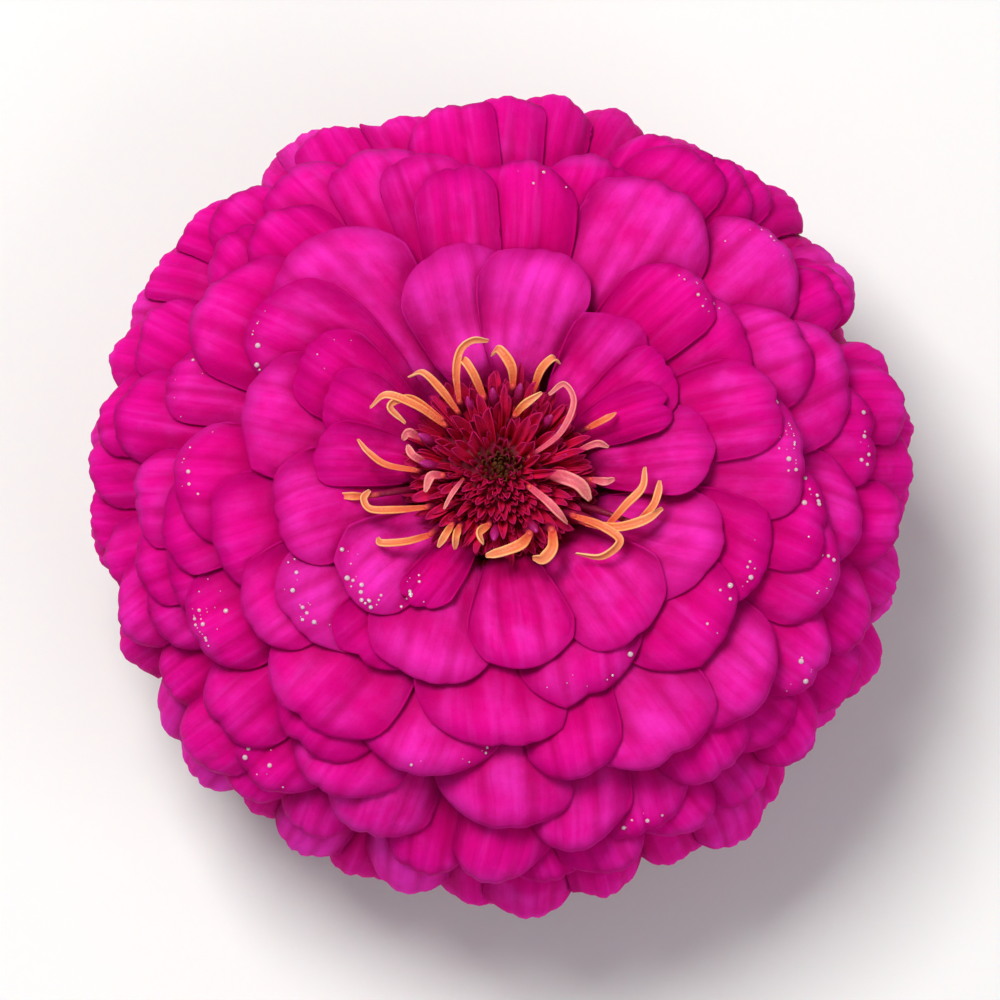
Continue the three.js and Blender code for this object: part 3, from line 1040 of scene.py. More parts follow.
# The crown's petals, read from the picture, the innermost first. Each has where the middle of its tip
# is seen, as an azimuth in degrees and a distance in millimetres from the middle of the disc, the
# petal's width in millimetres, and its tone from 0 (dark) to 1 (light).
# Each crown petal's tone stands partly for its own colour and mostly for the light and shade on it:
# painted light and shade.
CROWN_PETALS = (
    (238, 17.6, 4.4, 0.2), (20, 19, 4.6, 0.3), (178, 19.5, 5.6, 0.45), (31, 20.2, 6.4, 0.45),
    (222, 21.4, 8.2, 0.8), (157, 20, 7.4, 0.4), (278, 21.9, 9, 0.5), (47, 20.7, 8, 0.6),
    (5, 23, 8.2, 0.6), (309, 23.5, 9.6, 0.62), (150, 25, 8, 0.35), (250, 24.4, 10.6, 0.65),
    (233, 25.7, 8, 0.35), (339, 25.3, 10.4, 0.75), (194, 26.1, 9.8, 0.6), (76, 23.9, 9.8, 0.8),
    (103, 24.3, 10.4, 0.8), (291, 26.7, 10.8, 0.55), (216, 28.2, 9.4, 0.85), (166, 29.6, 11, 0.62),
    (320, 30.6, 10.4, 0.42), (44, 29.5, 8, 0.35), (13, 30.8, 8.2, 0.5), (270.5, 30.6, 12.2, 0.5),
    (33, 30.2, 10.2, 0.45), (213, 31.5, 8, 0.55), (337.5, 30.9, 9, 0.4), (2.5, 32.6, 11.6, 0.62),
    (197, 32.8, 10.6, 0.48), (149, 31.4, 9.5, 0.5), (231, 34.4, 11.2, 0.52), (284, 34.5, 8, 0.4),
    (133, 32, 12, 0.72), (253, 34.4, 11.4, 0.62), (98.5, 32.4, 7, 0.45), (182, 36, 10, 0.4),
    (349, 35.6, 10, 0.35), (301, 36.3, 11.6, 0.68), (23, 35.4, 10, 0.55), (86, 32.8, 9.6, 0.12),
    (234, 36.8, 9.6, 0.4), (317, 37.7, 11.2, 0.6), (58, 35, 12, 0.7), (192, 38, 8.5, 0.45),
    (210, 38.2, 9, 0.3), (164.5, 36.7, 9, 0.55), (72, 34.6, 8.5, 0.4), (106, 34.6, 8, 0.55),
    (271.5, 38.8, 11.6, 0.58), (340, 38.1, 10.4, 0.52), (201, 38.6, 8.5, 0.4), (151, 36.6, 11.4, 0.42),
    (133.5, 36.6, 8.5, 0.35), (17, 38.5, 11.2, 0.58), (240.5, 39.4, 10, 0.5), (39, 38.4, 11.4, 0.65),
    (306, 40.6, 9.5, 0.42), (184.5, 39.8, 8.5, 0.5), (114, 36.6, 9.6, 0.5), (350.5, 39.2, 10, 0.55),
    (205, 41.2, 8.5, 0.5), (281.5, 42, 9, 0.5), (4.5, 40.2, 10, 0.45), (28, 40.6, 8, 0.45),
    (222.5, 40.4, 9.5, 0.52), (141, 38.4, 8, 0.4), (56.5, 39.6, 9, 0.4), (196, 41, 8.5, 0.4),
    (327, 40.8, 9, 0.5), (250, 41.8, 10.5, 0.6), (292, 42.4, 10, 0.5), (315.5, 41.6, 9.5, 0.45),
    (172, 41.5, 9, 0.42), (157.5, 41, 8.5, 0.35), (126, 38.8, 9.5, 0.5), (61.5, 40, 8.5, 0.35),
    (27.5, 42, 8, 0.35), (233, 42.6, 9, 0.4), (107, 39.6, 9, 0.5), (203, 43.6, 8.5, 0.5),
    (335.5, 43, 8.5, 0.4), (15, 42.6, 9, 0.45), (277, 44.8, 8.5, 0.35), (298.5, 44.2, 8.5, 0.4),
    (51.5, 41, 8.5, 0.4), (135.5, 40.8, 9, 0.42), (81, 39.6, 8.5, 0.3), (173, 43.2, 8.5, 0.4),
    (214, 43.6, 8.5, 0.35), (351.5, 43.2, 8.5, 0.4), (180, 43.9, 9, 0.45), (308, 44.6, 8.5, 0.5),
    (326.5, 44.6, 9, 0.45), (223, 44.2, 8.5, 0.45), (286, 45.2, 8.5, 0.45), (194.5, 43.4, 8.5, 0.45),
    (259.5, 44.4, 9, 0.4), (268.5, 44.6, 9, 0.45), (231.5, 44.6, 8, 0.4), (99, 39.2, 8.5, 0.35),
    (8.5, 43.8, 8.5, 0.45), (359.5, 44, 9, 0.45), (241.5, 44.4, 9, 0.5), (117, 40.4, 8.5, 0.35),
    (317, 45, 8.5, 0.35), (71, 40.2, 9, 0.45), (187, 44.2, 8.5, 0.35), (50, 41.6, 9, 0.4),
    (42.5, 42.4, 8.5, 0.4), (35, 42.6, 8.5, 0.5), (90, 39.4, 9, 0.45), (126, 42, 8.5, 0.45),
    (141.5, 42.2, 8.5, 0.35), (150, 42.6, 8.5, 0.45), (163.5, 43.2, 8.5, 0.45), (343.5, 44.2, 9, 0.5),
)


@dataclass
class RayPetals:
    """All the ray petals, laid over each other from the lowest up, and the seat they grow from."""

    dome: Dome = field(default_factory=Dome)
    sight: Sight = field(default_factory=Sight)
    rule_petals: int = 104
    first_tip: float = 7.0
    crowding: float = 1.5
    spiral_start: float = 12.0
    rows: int = 28
    columns: int = 23
    thickness: float = 0.34
    edge_thickness: float = 0.16
    layer_gap: float = 0.10
    claw_share: float = 0.40
    groove_place: float = 0.40
    groove_depth: float = 0.42
    ripple_height: float = 0.42
    curled_border: float = 2.4
    deepest_cleft: float = 0.9
    hug: float = 0.75
    deepest_sag: float = 4.0
    push_rounds: int = 3
    push_passes: int = 8
    coarse_map: tuple[int, int, int] = (210, 480, 3)
    coarse_rounds: int = 3
    fine_rounds: int = 2
    settling: float = 0.8
    lowest_crown_tip: float = 2.7
    pieces: int = 8
    seed: int = 2024
    laid: list[tuple[Petal, Array, Array]] = field(default_factory=list)
    reliefs: list[Array] = field(default_factory=list)

    def character(self, draw: np.random.Generator, *arch: float) -> dict[str, object]:
        """How a petal is arched, and how its end is curled, notched, creased and rippled.

        Args:
            draw: where the random numbers come from.
            arch: the least and the most arch.

        Returns:
            The petal's values by their names.
        """
        return {
            **drawn(draw, arch=arch, curl=(0.8, 1.3), notch=(0.0, 0.28)),
            "cleft": self.deepest_cleft * draw.random() ** 2,
            "crease": draw.uniform(0.0, 1.1),
            "waves": draw.uniform(-1, 1, 4),
        }

    def petals(self) -> list[Petal]:
        """Makes every petal.

        Returns:
            The crown's petals, then those placed by the spiral.
        """
        draw = np.random.default_rng(self.seed)
        dome = self.dome
        made = []
        for azimuth, radius, width, tone in CROWN_PETALS:
            petal = Petal(
                azimuth=math.radians(azimuth),
                tip_angle=math.acos(min(radius / dome.rim_radius, self.widest_share)),
                seen=on_azimuth(radius, 0.0, math.radians(azimuth))[:2],
                half_width=0.5 * width,
                roll=math.radians(draw.uniform(-11, 11)),
                swing=math.radians(draw.uniform(-7, 7)),
                tone=tone,
                **self.character(draw, 0.42, 0.58),
            )
            made.append(petal)
        for k in range(self.rule_petals):
            share = k / (self.rule_petals - 1)
            angle = mix(self.first_tip, dome.lowest_tip, share**self.crowding)
            petal = Petal(
                azimuth=math.radians(self.spiral_start + draw.uniform(-2, 2)) + GOLDEN_ANGLE * k,
                tip_angle=math.radians(angle + draw.uniform(-1.2, 1.2)),
                half_width=mix(4.4, 5.4, share) + draw.uniform(-0.5, 0.5),
                roll=math.radians(draw.uniform(-6, 6)),
                swing=math.radians(draw.uniform(-4, 4)),
                tone=0.5 + draw.uniform(-0.28, 0.28),
                **self.character(draw, 0.38, 0.52),
            )
            made.append(petal)
        for petal in made:
            petal.lift = draw.uniform(-0.3, 0.3)
        return made

    def raised(self, petal: Petal, along: Array, across: Array, inset: Array) -> Array:
        """How far a petal's points are raised by its arch, curled border, grooves and ripple.

        Args:
            petal: the petal.
            along: how far along it each point is, from 0 at its root to 1 at its tip.
            across: how far across it, from -1 to 1.
            inset: how far in from its margin, in millimetres.

        Returns:
            The heights, in millimetres.
        """
        off_middle = np.abs(across)
        open_out = smooth(0.18, 0.60, along)
        lift = petal.arch * petal.half_width * (0.45 - off_middle**2.2) * open_out
        edge = np.clip(1 - inset / self.curled_border, 0, 1) ** 2
        lift -= petal.curl * 1.05 * edge * smooth(0.35, 0.7, along)
        groove = 0.8 * bell(off_middle - self.groove_place, 0.14) + petal.crease * bell(across, 0.13)
        lift -= self.groove_depth * groove * smooth(0.25, 0.55, along)
        first, second, third, fourth = petal.waves
        ripple = np.sin(2.6 * math.pi * along + 3 * first) * (0.5 + across * second)
        ripple = ripple + 0.6 * np.sin(5.0 * across + 4.1 * third + 7 * along) * fourth
        lift += self.ripple_height * ripple * open_out + petal.lift * along
        return lift

    def sheet(self, petal: Petal) -> tuple[Array, Array]:
        """A petal's free form, before it is laid on the others.

        Args:
            petal: the petal.

        Returns:
            Its grid of points, and petal_place for each.
        """
        line = self.dome.midline(petal.tip_angle)
        full = line[-1, 2]
        share = 1 - (1 - np.linspace(0, 1, self.rows)) ** 1.3
        across = np.sin(0.5 * math.pi * np.linspace(-1, 1, self.columns))
        round_end = 1.02 * petal.half_width
        reach = full - round_end * (1 - np.sqrt(np.maximum(0, 1 - np.abs(across) ** 2.15)))
        reach -= petal.notch * bell(np.abs(across) - self.groove_place, 0.16)
        reach -= petal.cleft * bell(across, 0.22)
        place = share[:, None] * reach[None, :]
        along = place / full
        width = mix(self.claw_share, 1.0, smooth(0.02, 0.66, along)) - 0.07 * smooth(0.82, 1.0, along)
        half = petal.half_width * width
        slope = np.gradient(line[:, :2], line[:, 2], axis=0)
        radius, height = (np.interp(place, line[:, 2], line[:, k]) for k in (0, 1))
        out, up = (np.interp(place, line[:, 2], slope[:, k]) for k in (0, 1))
        azimuth = petal.azimuth + petal.swing * along**2
        forward = unit(on_azimuth(out, up, azimuth))
        level = on_azimuth(1.0, 0.0, azimuth + 0.5 * math.pi)
        turn = (petal.roll * along)[..., None]
        side = np.cos(turn) * level + np.sin(turn) * np.cross(forward, level)
        outward = np.cross(forward, side)
        across = np.broadcast_to(across, along.shape)
        inset_side = (1 - np.abs(across)) * half
        inset_tip = (1 - share[:, None]) * reach[None, :]
        inset = 1 / sum(1 / np.maximum(part, 1e-3) ** 2 for part in (inset_side, inset_tip)) ** 0.5
        points = on_azimuth(radius, height, azimuth) + side * (across * half)[..., None]
        points = points + outward * self.raised(petal, along, across, inset)[..., None]
        return points, np.stack([along, across, inset], axis=-1)

    @property
    def widest_share(self) -> float:
        """How far out a crown petal's tip may lie, as a share of the rim's radius."""
        return math.cos(math.radians(self.lowest_crown_tip))

    def settle(self, made: list[Petal]) -> None:
        """Moves the crown's petals until each tip is seen where it was read.

        Args:
            made: every petal.
        """
        middle = self.columns // 2
        for number in range(self.coarse_rounds + self.fine_rounds):
            fineness = self.coarse_map if number < self.coarse_rounds else ()
            self.lay_all(made, LayerMap(self.dome.centre, *fineness))
            for petal, surface, _ in self.laid:
                if petal.seen is None:
                    continue
                now = self.sight.seen(surface[-1, middle - 3 : middle + 4].mean(axis=0))
                short = np.linalg.norm(petal.seen) - np.linalg.norm(now)
                aside = math.atan2(petal.seen[1], petal.seen[0]) - math.atan2(now[1], now[0])
                share = math.cos(petal.tip_angle) + self.settling * short / self.dome.rim_radius
                petal.tip_angle = math.acos(min(share, self.widest_share))
                petal.azimuth += self.settling * math.remainder(aside, 2 * math.pi)

    def lay_all(self, made: list[Petal], layers: LayerMap) -> None:
        """Lays every petal on those below it, the lowest first, so that none cuts through another.

        Args:
            made: every petal.
            layers: an empty map of the layers.
        """
        self.laid = []
        space = 0.5 * self.thickness + self.layer_gap
        for petal in sorted(made, key=lambda petal: petal.tip_angle):
            points, place = self.sheet(petal)
            directions, distance, below = layers.read(points)
            slack = np.where(below > 0, distance - below - space, 0.0)
            level = np.percentile(slack, 30, axis=1)
            drop = self.hug * np.minimum(level, self.deepest_sag) * smooth(0.4, 0.95, place[:, 0, 0])
            sag = np.where(level > 0, drop, level)
            for _ in range(6):
                sag = np.convolve(np.pad(sag, 1, mode="edge"), (0.25, 0.5, 0.25), mode="valid")
            points = points - directions * sag[:, None, None]
            for _ in range(self.push_rounds):
                directions, distance, below = layers.read(points)
                needed = np.maximum(0, below + space - distance)
                points = points + directions * eased_over(needed, self.push_passes)[..., None]
            points[..., 2] = np.maximum(points[..., 2], 0.35 * self.thickness)
            layers.lay(points, 0.5 * self.thickness)
            self.laid.append((petal, points, place))
        self.reliefs = [layers.relief(surface, 0.5 * self.thickness) for _, surface, _ in self.laid]

    def build(self, finish: bpy.types.Material, flesh: bpy.types.Material) -> None:
        """Builds the petals in rows from the skirt to the crown, and their seat.

        Args:
            finish: the petals' material.
            flesh: the seat's material.
        """
        made = self.petals()
        self.settle(made)
        self.lay_all(made, LayerMap(self.dome.centre))
        share = math.ceil(len(self.laid) / self.pieces)
        for number in range(self.pieces):
            draft = MeshDraft(f"petals_row_{self.pieces - number}")
            chosen = slice(number * share, (number + 1) * share)
            for (petal, surface, place), relief in zip(self.laid[chosen], self.reliefs[chosen]):
                thin = smooth(0.0, 1.1, place[..., 2])
                thickness = self.edge_thickness + (self.thickness - self.edge_thickness) * thin
                points, faces, side = shell(surface, thickness)
                tone = np.full_like(side, petal.tone)
                # The second value is how far each point stands out of the petals round it; the finish
                # paints a highlight on the crests and shade in the hollows from it.
                kind = np.stack([tone, np.tile(relief.ravel(), 2), side], axis=1)
                draft.add(points, faces, petal_place=both_faces(place), petal_kind=kind)
            draft.build(finish, Slot.PETAL, Node.PETALS)
        seat = MeshDraft("petal_seat")
        seat.add(*turned(self.dome.seat_profile, 64))
        seat.build(flesh, Slot.PETAL, Node.PETALS)

    def margin_near(self, x: float, y: float) -> tuple[Array, Array]:
        """The margin of the petal above the rim that ends nearest to a place seen from above.

        Args:
            x: of the place.
            y: of the place.

        Returns:
            The grids of points and of normals along the petal's end, on its face.
        """
        ends = np.array([surface[-1, self.columns // 2] for _, surface, _ in self.laid])
        apart = np.linalg.norm(ends[:, :2] - np.array([x, y]), axis=1)
        below_rim = ends[:, 2] < self.dome.rim_height
        nearest = int(np.argmin(np.where(below_rim, np.inf, apart)))
        surface = self.laid[nearest][1]
        normals = grid_normals(surface)
        face = surface + 0.5 * self.thickness * normals
        margin = (slice(-7, -1), slice(3, -3))
        return face[margin], normals[margin]


# ---------------------------------------------------------------- the disc


def floret_place(along: Array, tone: float, depth: Array | float = 0.0) -> Array:
    """What a floret's finish reads at each point: along it, its tone, and depth in the channel."""
    return np.stack(np.broadcast_arrays(along, tone, depth), axis=-1)


@dataclass
class Curl:
    """One curled lobe of an open floret: the points that it passes through, and its thickness."""

    points: tuple[tuple[float, float, float], ...]
    radius: float = 0.42
    tone: float = 0.5


# The curled lobes, read from the picture: x, y and height of a few points along each, from inside
# outwards.
CURLS = (
    Curl(((-4.6, 5.9, 46.4), (-6.4, 8.0, 48.0), (-8.3, 9.7, 48.5), (-9.8, 9.5, 47.2))),
    Curl(
        ((-4.4, 7.0, 46.6), (-4.7, 9.6, 48.3), (-4.3, 11.9, 49.0), (-3.0, 13.1, 48.8), (-1.3, 13.3, 47.7)),
    ),
    Curl(((-1.8, 7.4, 46.8), (-2.9, 9.6, 48.6), (-4.0, 11.1, 48.4), (-4.6, 10.3, 47.0)), 0.46, 0.7),
    Curl(((1.4, 8.6, 46.8), (1.2, 10.4, 48.4), (-0.1, 12.2, 48.6), (-0.9, 11.9, 47.2)), 0.50, 0.4),
    Curl(((3.6, 8.2, 46.2), (4.4, 10.1, 48.0), (5.7, 11.3, 48.4), (6.4, 11.0, 47.1)), 0.44, 0.6),
    Curl(((1.6, 5.4, 46.6), (2.6, 6.3, 47.8), (4.4, 7.5, 48.2)), 0.42, 0.8),
    Curl(((-6.0, 4.4, 46.4), (-8.8, 6.0, 48.4), (-12.1, 7.2, 48.8), (-13.9, 6.1, 47.4)), 0.42, 0.8),
    Curl(((-6.3, 5.0, 46.6), (-9.6, 6.9, 48.0), (-11.8, 6.0, 48.6), (-10.2, 4.4, 47.4)), 0.42, 0.6),
    Curl(((-9.0, -0.6, 46.4), (-12.2, -0.2, 47.6), (-14.2, 1.2, 48.0), (-15.2, 2.6, 47.2)), 0.36, 0.2),
    Curl(
        ((-8, -4.6, 46.2), (-11, -5.1, 47.6), (-13.8, -5.1, 48), (-14.6, -3.9, 47.6), (-14, -2.9, 46.8)),
    ),
    Curl(((-14.2, -3.4, 46.2), (-16.0, -3.5, 46.9), (-17.4, -3.3, 46.2)), 0.40, 0.4),
    Curl(((-7.6, -7.6, 46.0), (-10.0, -8.5, 47.4), (-12.6, -8.7, 47.6), (-13.1, -8.0, 46.6)), 0.42, 0.8),
    Curl(((-5.2, -6.6, 46.6), (-5.8, -7.8, 47.8), (-6.6, -9.0, 47.0)), 0.40, 0.7),
    Curl(((-4.4, -6.8, 46.6), (-4.7, -8.0, 47.6), (-4.8, -9.2, 46.8)), 0.40, 0.6),
    Curl(((-1.2, -6.6, 46.6), (-2.2, -7.6, 47.8), (-1.8, -8.8, 47.6)), 0.44, 0.6),
    Curl(((3.2, -7.6, 46.6), (2.2, -8.9, 47.8), (0.4, -9.6, 47.6), (-1.4, -9.9, 46.6)), 0.58, 0.5),
    Curl(((5.6, -7.2, 46.4), (5.6, -9.2, 47.6), (4.6, -10.4, 47.4), (3.6, -10.2, 46.6)), 0.60, 0.9),
    Curl(
        ((8, -5.6, 46.4), (10.8, -6.9, 48), (12.8, -8.6, 48.4), (10.9, -10.2, 47.6), (8.2, -9.7, 46.4)),
        0.46, 0.6,
    ),
    Curl(((9.2, -6.4, 46.8), (12.4, -7.1, 48.2), (15.4, -6.4, 48.6), (17.3, -5.0, 47.6)), 0.50, 0.8),
    Curl(((11.4, -6.9, 47.0), (13.4, -4.8, 48.6), (15.2, -2.9, 48.9), (15.5, -0.6, 47.8)), 0.44, 0.9),
    Curl(((14.6, -6.6, 47.2), (16.3, -4.9, 48.4), (16.9, -3.4, 48.4), (17.1, -2.0, 47.6)), 0.40, 0.7),
    Curl(((9.6, 4.2, 45.8), (11.4, 4.9, 47.2), (12.4, 5.6, 46.8)), 0.38, 0.1),
)

# Pink and peach straps among the scales, as above.
STRAPS = (
    Curl(
        ((3.2, 0.9, 46.4), (6.4, 3.2, 47.6), (7.9, 6.4, 48.4), (6.9, 8.5, 48.0), (5.3, 7.6, 47.0)),
        0.34, 0.4,
    ),
    Curl(((3.2, -2.5, 46.8), (5.0, -4.2, 48.0), (6.4, -5.6, 47.6), (7.2, -6.3, 46.4)), 0.46, 0.9),
    Curl(((5.2, -1.0, 46.4), (7.0, -1.6, 47.4), (8.6, -2.4, 47.4), (9.6, -3.7, 46.2)), 0.72, 0.6),
    Curl(((-4.0, -1.6, 46.6), (-5.2, -3.4, 47.2), (-6.0, -4.8, 46.6)), 0.26, 0.5),
    Curl(((8.6, 1.6, 46.6), (10.4, 2.1, 47.6), (11.6, 1.8, 47.2)), 0.36, 0.8),
    Curl(((9.8, -1.6, 46.4), (11.2, -2.0, 47.4), (12.2, -1.7, 47.0)), 0.40, 1.0),
    Curl(((-8.0, 0.2, 46.4), (-9.4, 0.9, 47.5), (-9.9, 2.0, 47.0)), 0.42, 0.7),
    Curl(((-6.2, -1.2, 46.8), (-7.4, -1.5, 47.8), (-8.0, -3.0, 47.2)), 0.46, 0.8),
    Curl(((-8.6, 3.0, 46.0), (-9.8, 3.4, 47.0), (-10.4, 2.8, 46.4)), 0.44, 0.4),
)


@dataclass
class ScaleForm:
    """The form of one chaff scale. Lengths are in millimetres, angles in radians.

    A scale is a folded blade. It leans out from upright by the lean at its foot, and by the curl more at
    its tip. The fold is how high its sides stand, as a share of its half width. A blunt scale keeps its
    width almost to its tip, and the turn is how far it faces aside from the middle of the disc.
    """

    azimuth: float
    radius: float
    length: float
    half_width: float
    lean: float
    curl: float
    fold: float
    blunt: float
    turn: float
    tone: float
    sunk: float = 0.5


@dataclass
class Disc:
    """The dark heart of the bloom: scales, unopened florets, and open florets with curled lobes."""

    floor: float = 41.5
    plate_radius: float = 8.2
    plate_thickness: float = 1.0
    plate_chamfer: float = 0.3
    cushion_gap: float = 0.3
    cushion_radius: float = 7.6
    cushion_rise: float = 2.2
    heart_dip: float = 0.7
    dip_width: float = 1.6
    shoulder_start: float = 0.4
    shoulder_drop: float = 0.3
    shoulder_slope: float = 1.1
    under_scales: int = 165
    edge_scales: int = 46
    shoulder_scales: int = 70
    velvet_scales: int = 560
    heart_scales: int = 46
    bud_count: int = 22
    bud_places: tuple[float, float] = (5.2, 6.8)
    bud_lengths: tuple[float, float] = (3.2, 4.6)
    bud_leans: tuple[float, float] = (0.35, 0.75)
    heart_edge: float = 1.2
    heart_radius: float = 1.9
    clearance: float = 0.28
    shortest_cut: int = 7
    cut: float = 0.86
    bud_radius: float = 0.44
    bud_form: tuple[float, ...] = (0.75, 0.75, 0.8, 0.85, 0.95, 1.05, 1.15, 1.12, 0.85, 0.45)
    bud_clearance: float = 0.5
    tube_reach: float = 7.6
    seed: int = 77
    tongue_ranks: tuple[tuple[int, float, float, float, float], ...] = (
        (17, 6.0, 5.6, 0.60, 0.90), (15, 4.5, 6.0, 0.64, 0.74), (12, 3.1, 5.8, 0.62, 0.62),
    )
    tongue_fan: tuple[float, float] = (-22.0, 206.0)

    def __post_init__(self) -> None:
        """Notes where the curled lobes and straps run."""
        paths = [curve_through(curl.points, 5 * len(curl.points)) for curl in CURLS + STRAPS]
        self.lobe_points = np.vstack([path[3:] for path in paths])
        self.lobe_radii = np.concatenate(
            [np.full(len(path) - 3, curl.radius) for curl, path in zip(CURLS + STRAPS, paths)]
        )

    @property
    def cushion_floor(self) -> float:
        """Height of the cushion's underside, just clear of the plate."""
        return self.floor + self.plate_thickness + self.cushion_gap

    def cushion_height(self, radius: float) -> float:
        """Height of the cushion's surface.

        Args:
            radius: distance from the middle of the disc.

        Returns:
            The height there.
        """
        share = min(1.0, radius / self.cushion_radius)
        dip = self.heart_dip * math.exp(-((radius / self.dip_width) ** 2))
        return self.cushion_floor + self.cushion_rise * (1 - share**3) - dip

    def foot_height(self, radius: float) -> float:
        """Height at which a scale starts: on the cushion, or past it on the shoulder of the seat.

        Args:
            radius: distance from the middle of the disc.

        Returns:
            The height there.
        """
        past = radius - self.cushion_radius
        if past < self.shoulder_start:
            return self.cushion_height(radius)
        return self.floor - self.shoulder_drop - self.shoulder_slope * (past - self.shoulder_start)

    def scale_grid(self, form: ScaleForm) -> tuple[Array, Array, Array]:
        """The middle surface of one chaff scale.

        Args:
            form: its place, size and form.

        Returns:
            Its grid of points, its thickness, and scale_place for each point.
        """
        along = np.linspace(0, 1, 13)[:, None]
        across = np.linspace(-1, 1, 9)[None, :]
        angle = form.lean + form.curl * along
        step = form.length / 12
        out = np.concatenate([[[0]], np.cumsum(np.sin(angle[:-1]) * step, axis=0)])
        up = np.concatenate([[[0]], np.cumsum(np.cos(angle[:-1]) * step, axis=0)])
        sharp = (0.55 + 0.6 * np.sin(math.pi * along**0.8)) * (1 - along**3)
        blunt = (0.62 + 0.38 * np.sin(0.5 * math.pi * along)) * np.sqrt(1 - along**5) + 0.02
        width = form.half_width * (sharp + (blunt - sharp) * form.blunt)
        level = on_azimuth(1.0, 0.0, form.azimuth + 0.5 * math.pi)
        face = on_azimuth(np.cos(angle), -np.sin(angle), form.azimuth)
        foot = self.foot_height(form.radius) - form.sunk
        points = on_azimuth(form.radius + out, foot + up, form.azimuth) + 0 * across[..., None]
        aside, ahead = width * across, -form.fold * width * np.abs(across) ** 1.6
        cos, sin = math.cos(form.turn), math.sin(form.turn)
        points = points + (aside * cos - ahead * sin)[..., None] * level
        points = points + (aside * sin + ahead * cos)[..., None] * face
        spread = across + 0 * along
        thickness = 0.06 + (0.08 + 0.10 * (1 - along)) * (1 - across**2)
        place = np.stack([along + 0 * across, spread, np.full_like(spread, form.tone)], axis=-1)
        return points, thickness, place

    def lobe_gap(self, points: Array) -> float:
        """The least gap from some points to a curled lobe or strap, in millimetres."""
        apart = np.linalg.norm(points.reshape(-1, 1, 3) - self.lobe_points[None], axis=2)
        return (apart.min(axis=0) - self.lobe_radii).min()

    def add_scale(self, draft: MeshDraft, form: ScaleForm) -> None:
        """Adds one chaff scale, shortened until it is clear of the curled lobes.

        Args:
            draft: the piece that it belongs to.
            form: its place, size and form.
        """
        for _ in range(self.shortest_cut):
            grid, thickness, place = self.scale_grid(form)
            if self.lobe_gap(grid) > self.clearance:
                break
            form.length *= self.cut
        points, faces, _ = shell(grid, thickness)
        draft.add(points, faces, scale_place=both_faces(place))

    def add_curl(self, draft: MeshDraft, curl: Curl) -> None:
        """Adds one curled lobe: a thick, channelled ribbon, widest past its middle.

        Args:
            draft: the piece that it belongs to.
            curl: the lobe.
        """
        path = curve_through(curl.points, 9 * len(curl.points))
        share = np.linspace(0, 1, len(path))
        swell = 0.66 + 0.40 * np.sin(math.pi * share**0.9) + 0.05 * np.sin(11 * share + 9 * curl.tone)
        swell = swell * (1 - 0.25 * smooth(0.85, 1.0, share))
        turn = 0.9 * math.sin(23 * curl.tone + 7 * curl.radius)
        radii = 1.02 * curl.radius * swell
        points, faces, along, channel = tube(path, radii, 20, flat=0.66, hollow=0.78, twist=turn)
        # The depth in the channel sets the painted shade there.
        draft.add(points, faces, floret_place=floret_place(along, curl.tone, channel))

    def tongue_forms(self, draw: np.random.Generator) -> Iterator[ScaleForm]:
        """Long folded tongues, in ranks round the back of the disc.

        Args:
            draw: where the random numbers come from.

        Returns:
            The form of each.
        """
        first, last = (math.radians(angle) for angle in self.tongue_fan)
        for rank, (count, radius, length, half_width, lean) in enumerate(self.tongue_ranks):
            for k in range(count):
                share = (k + 0.5 * (rank % 2) + 0.25) / count
                yield ScaleForm(
                    azimuth=mix(first, last, share) + draw.uniform(-0.11, 0.11),
                    radius=radius + draw.uniform(-0.5, 0.5),
                    length=length * draw.uniform(0.66, 1.18),
                    half_width=half_width * draw.uniform(0.70, 1.25),
                    lean=lean + draw.uniform(-0.25, 0.18),
                    **drawn(draw, curl=(-0.5, 0.35), fold=(0.8, 1.6), blunt=(0.85, 1)),
                    **drawn(draw, turn=(-0.7, 0.7), tone=(0, 1)),
                )

    def under_forms(self, draw: np.random.Generator) -> Iterator[ScaleForm]:
        """Scales all over the cushion, under the others.

        Args:
            draw: where the random numbers come from.

        Returns:
            The form of each.
        """
        for k in range(self.under_scales):
            share = math.sqrt((k + 0.5) / self.under_scales)
            yield ScaleForm(
                azimuth=GOLDEN_ANGLE * k + draw.uniform(-0.06, 0.06),
                radius=math.sqrt(mix(self.heart_edge**2, (self.cushion_radius - 0.2) ** 2, share**2)),
                length=mix(1.9, 4.2, share) * draw.uniform(0.85, 1.15),
                half_width=mix(0.34, 0.52, share) * draw.uniform(0.8, 1.2),
                lean=mix(0.0, 0.95, share) + draw.uniform(-0.22, 0.22),
                **drawn(draw, curl=(-0.4, 0.4), fold=(0.7, 1.2), blunt=(0.5, 1)),
                **drawn(draw, turn=(-0.4, 0.4), tone=(0, 0.7)),
            )

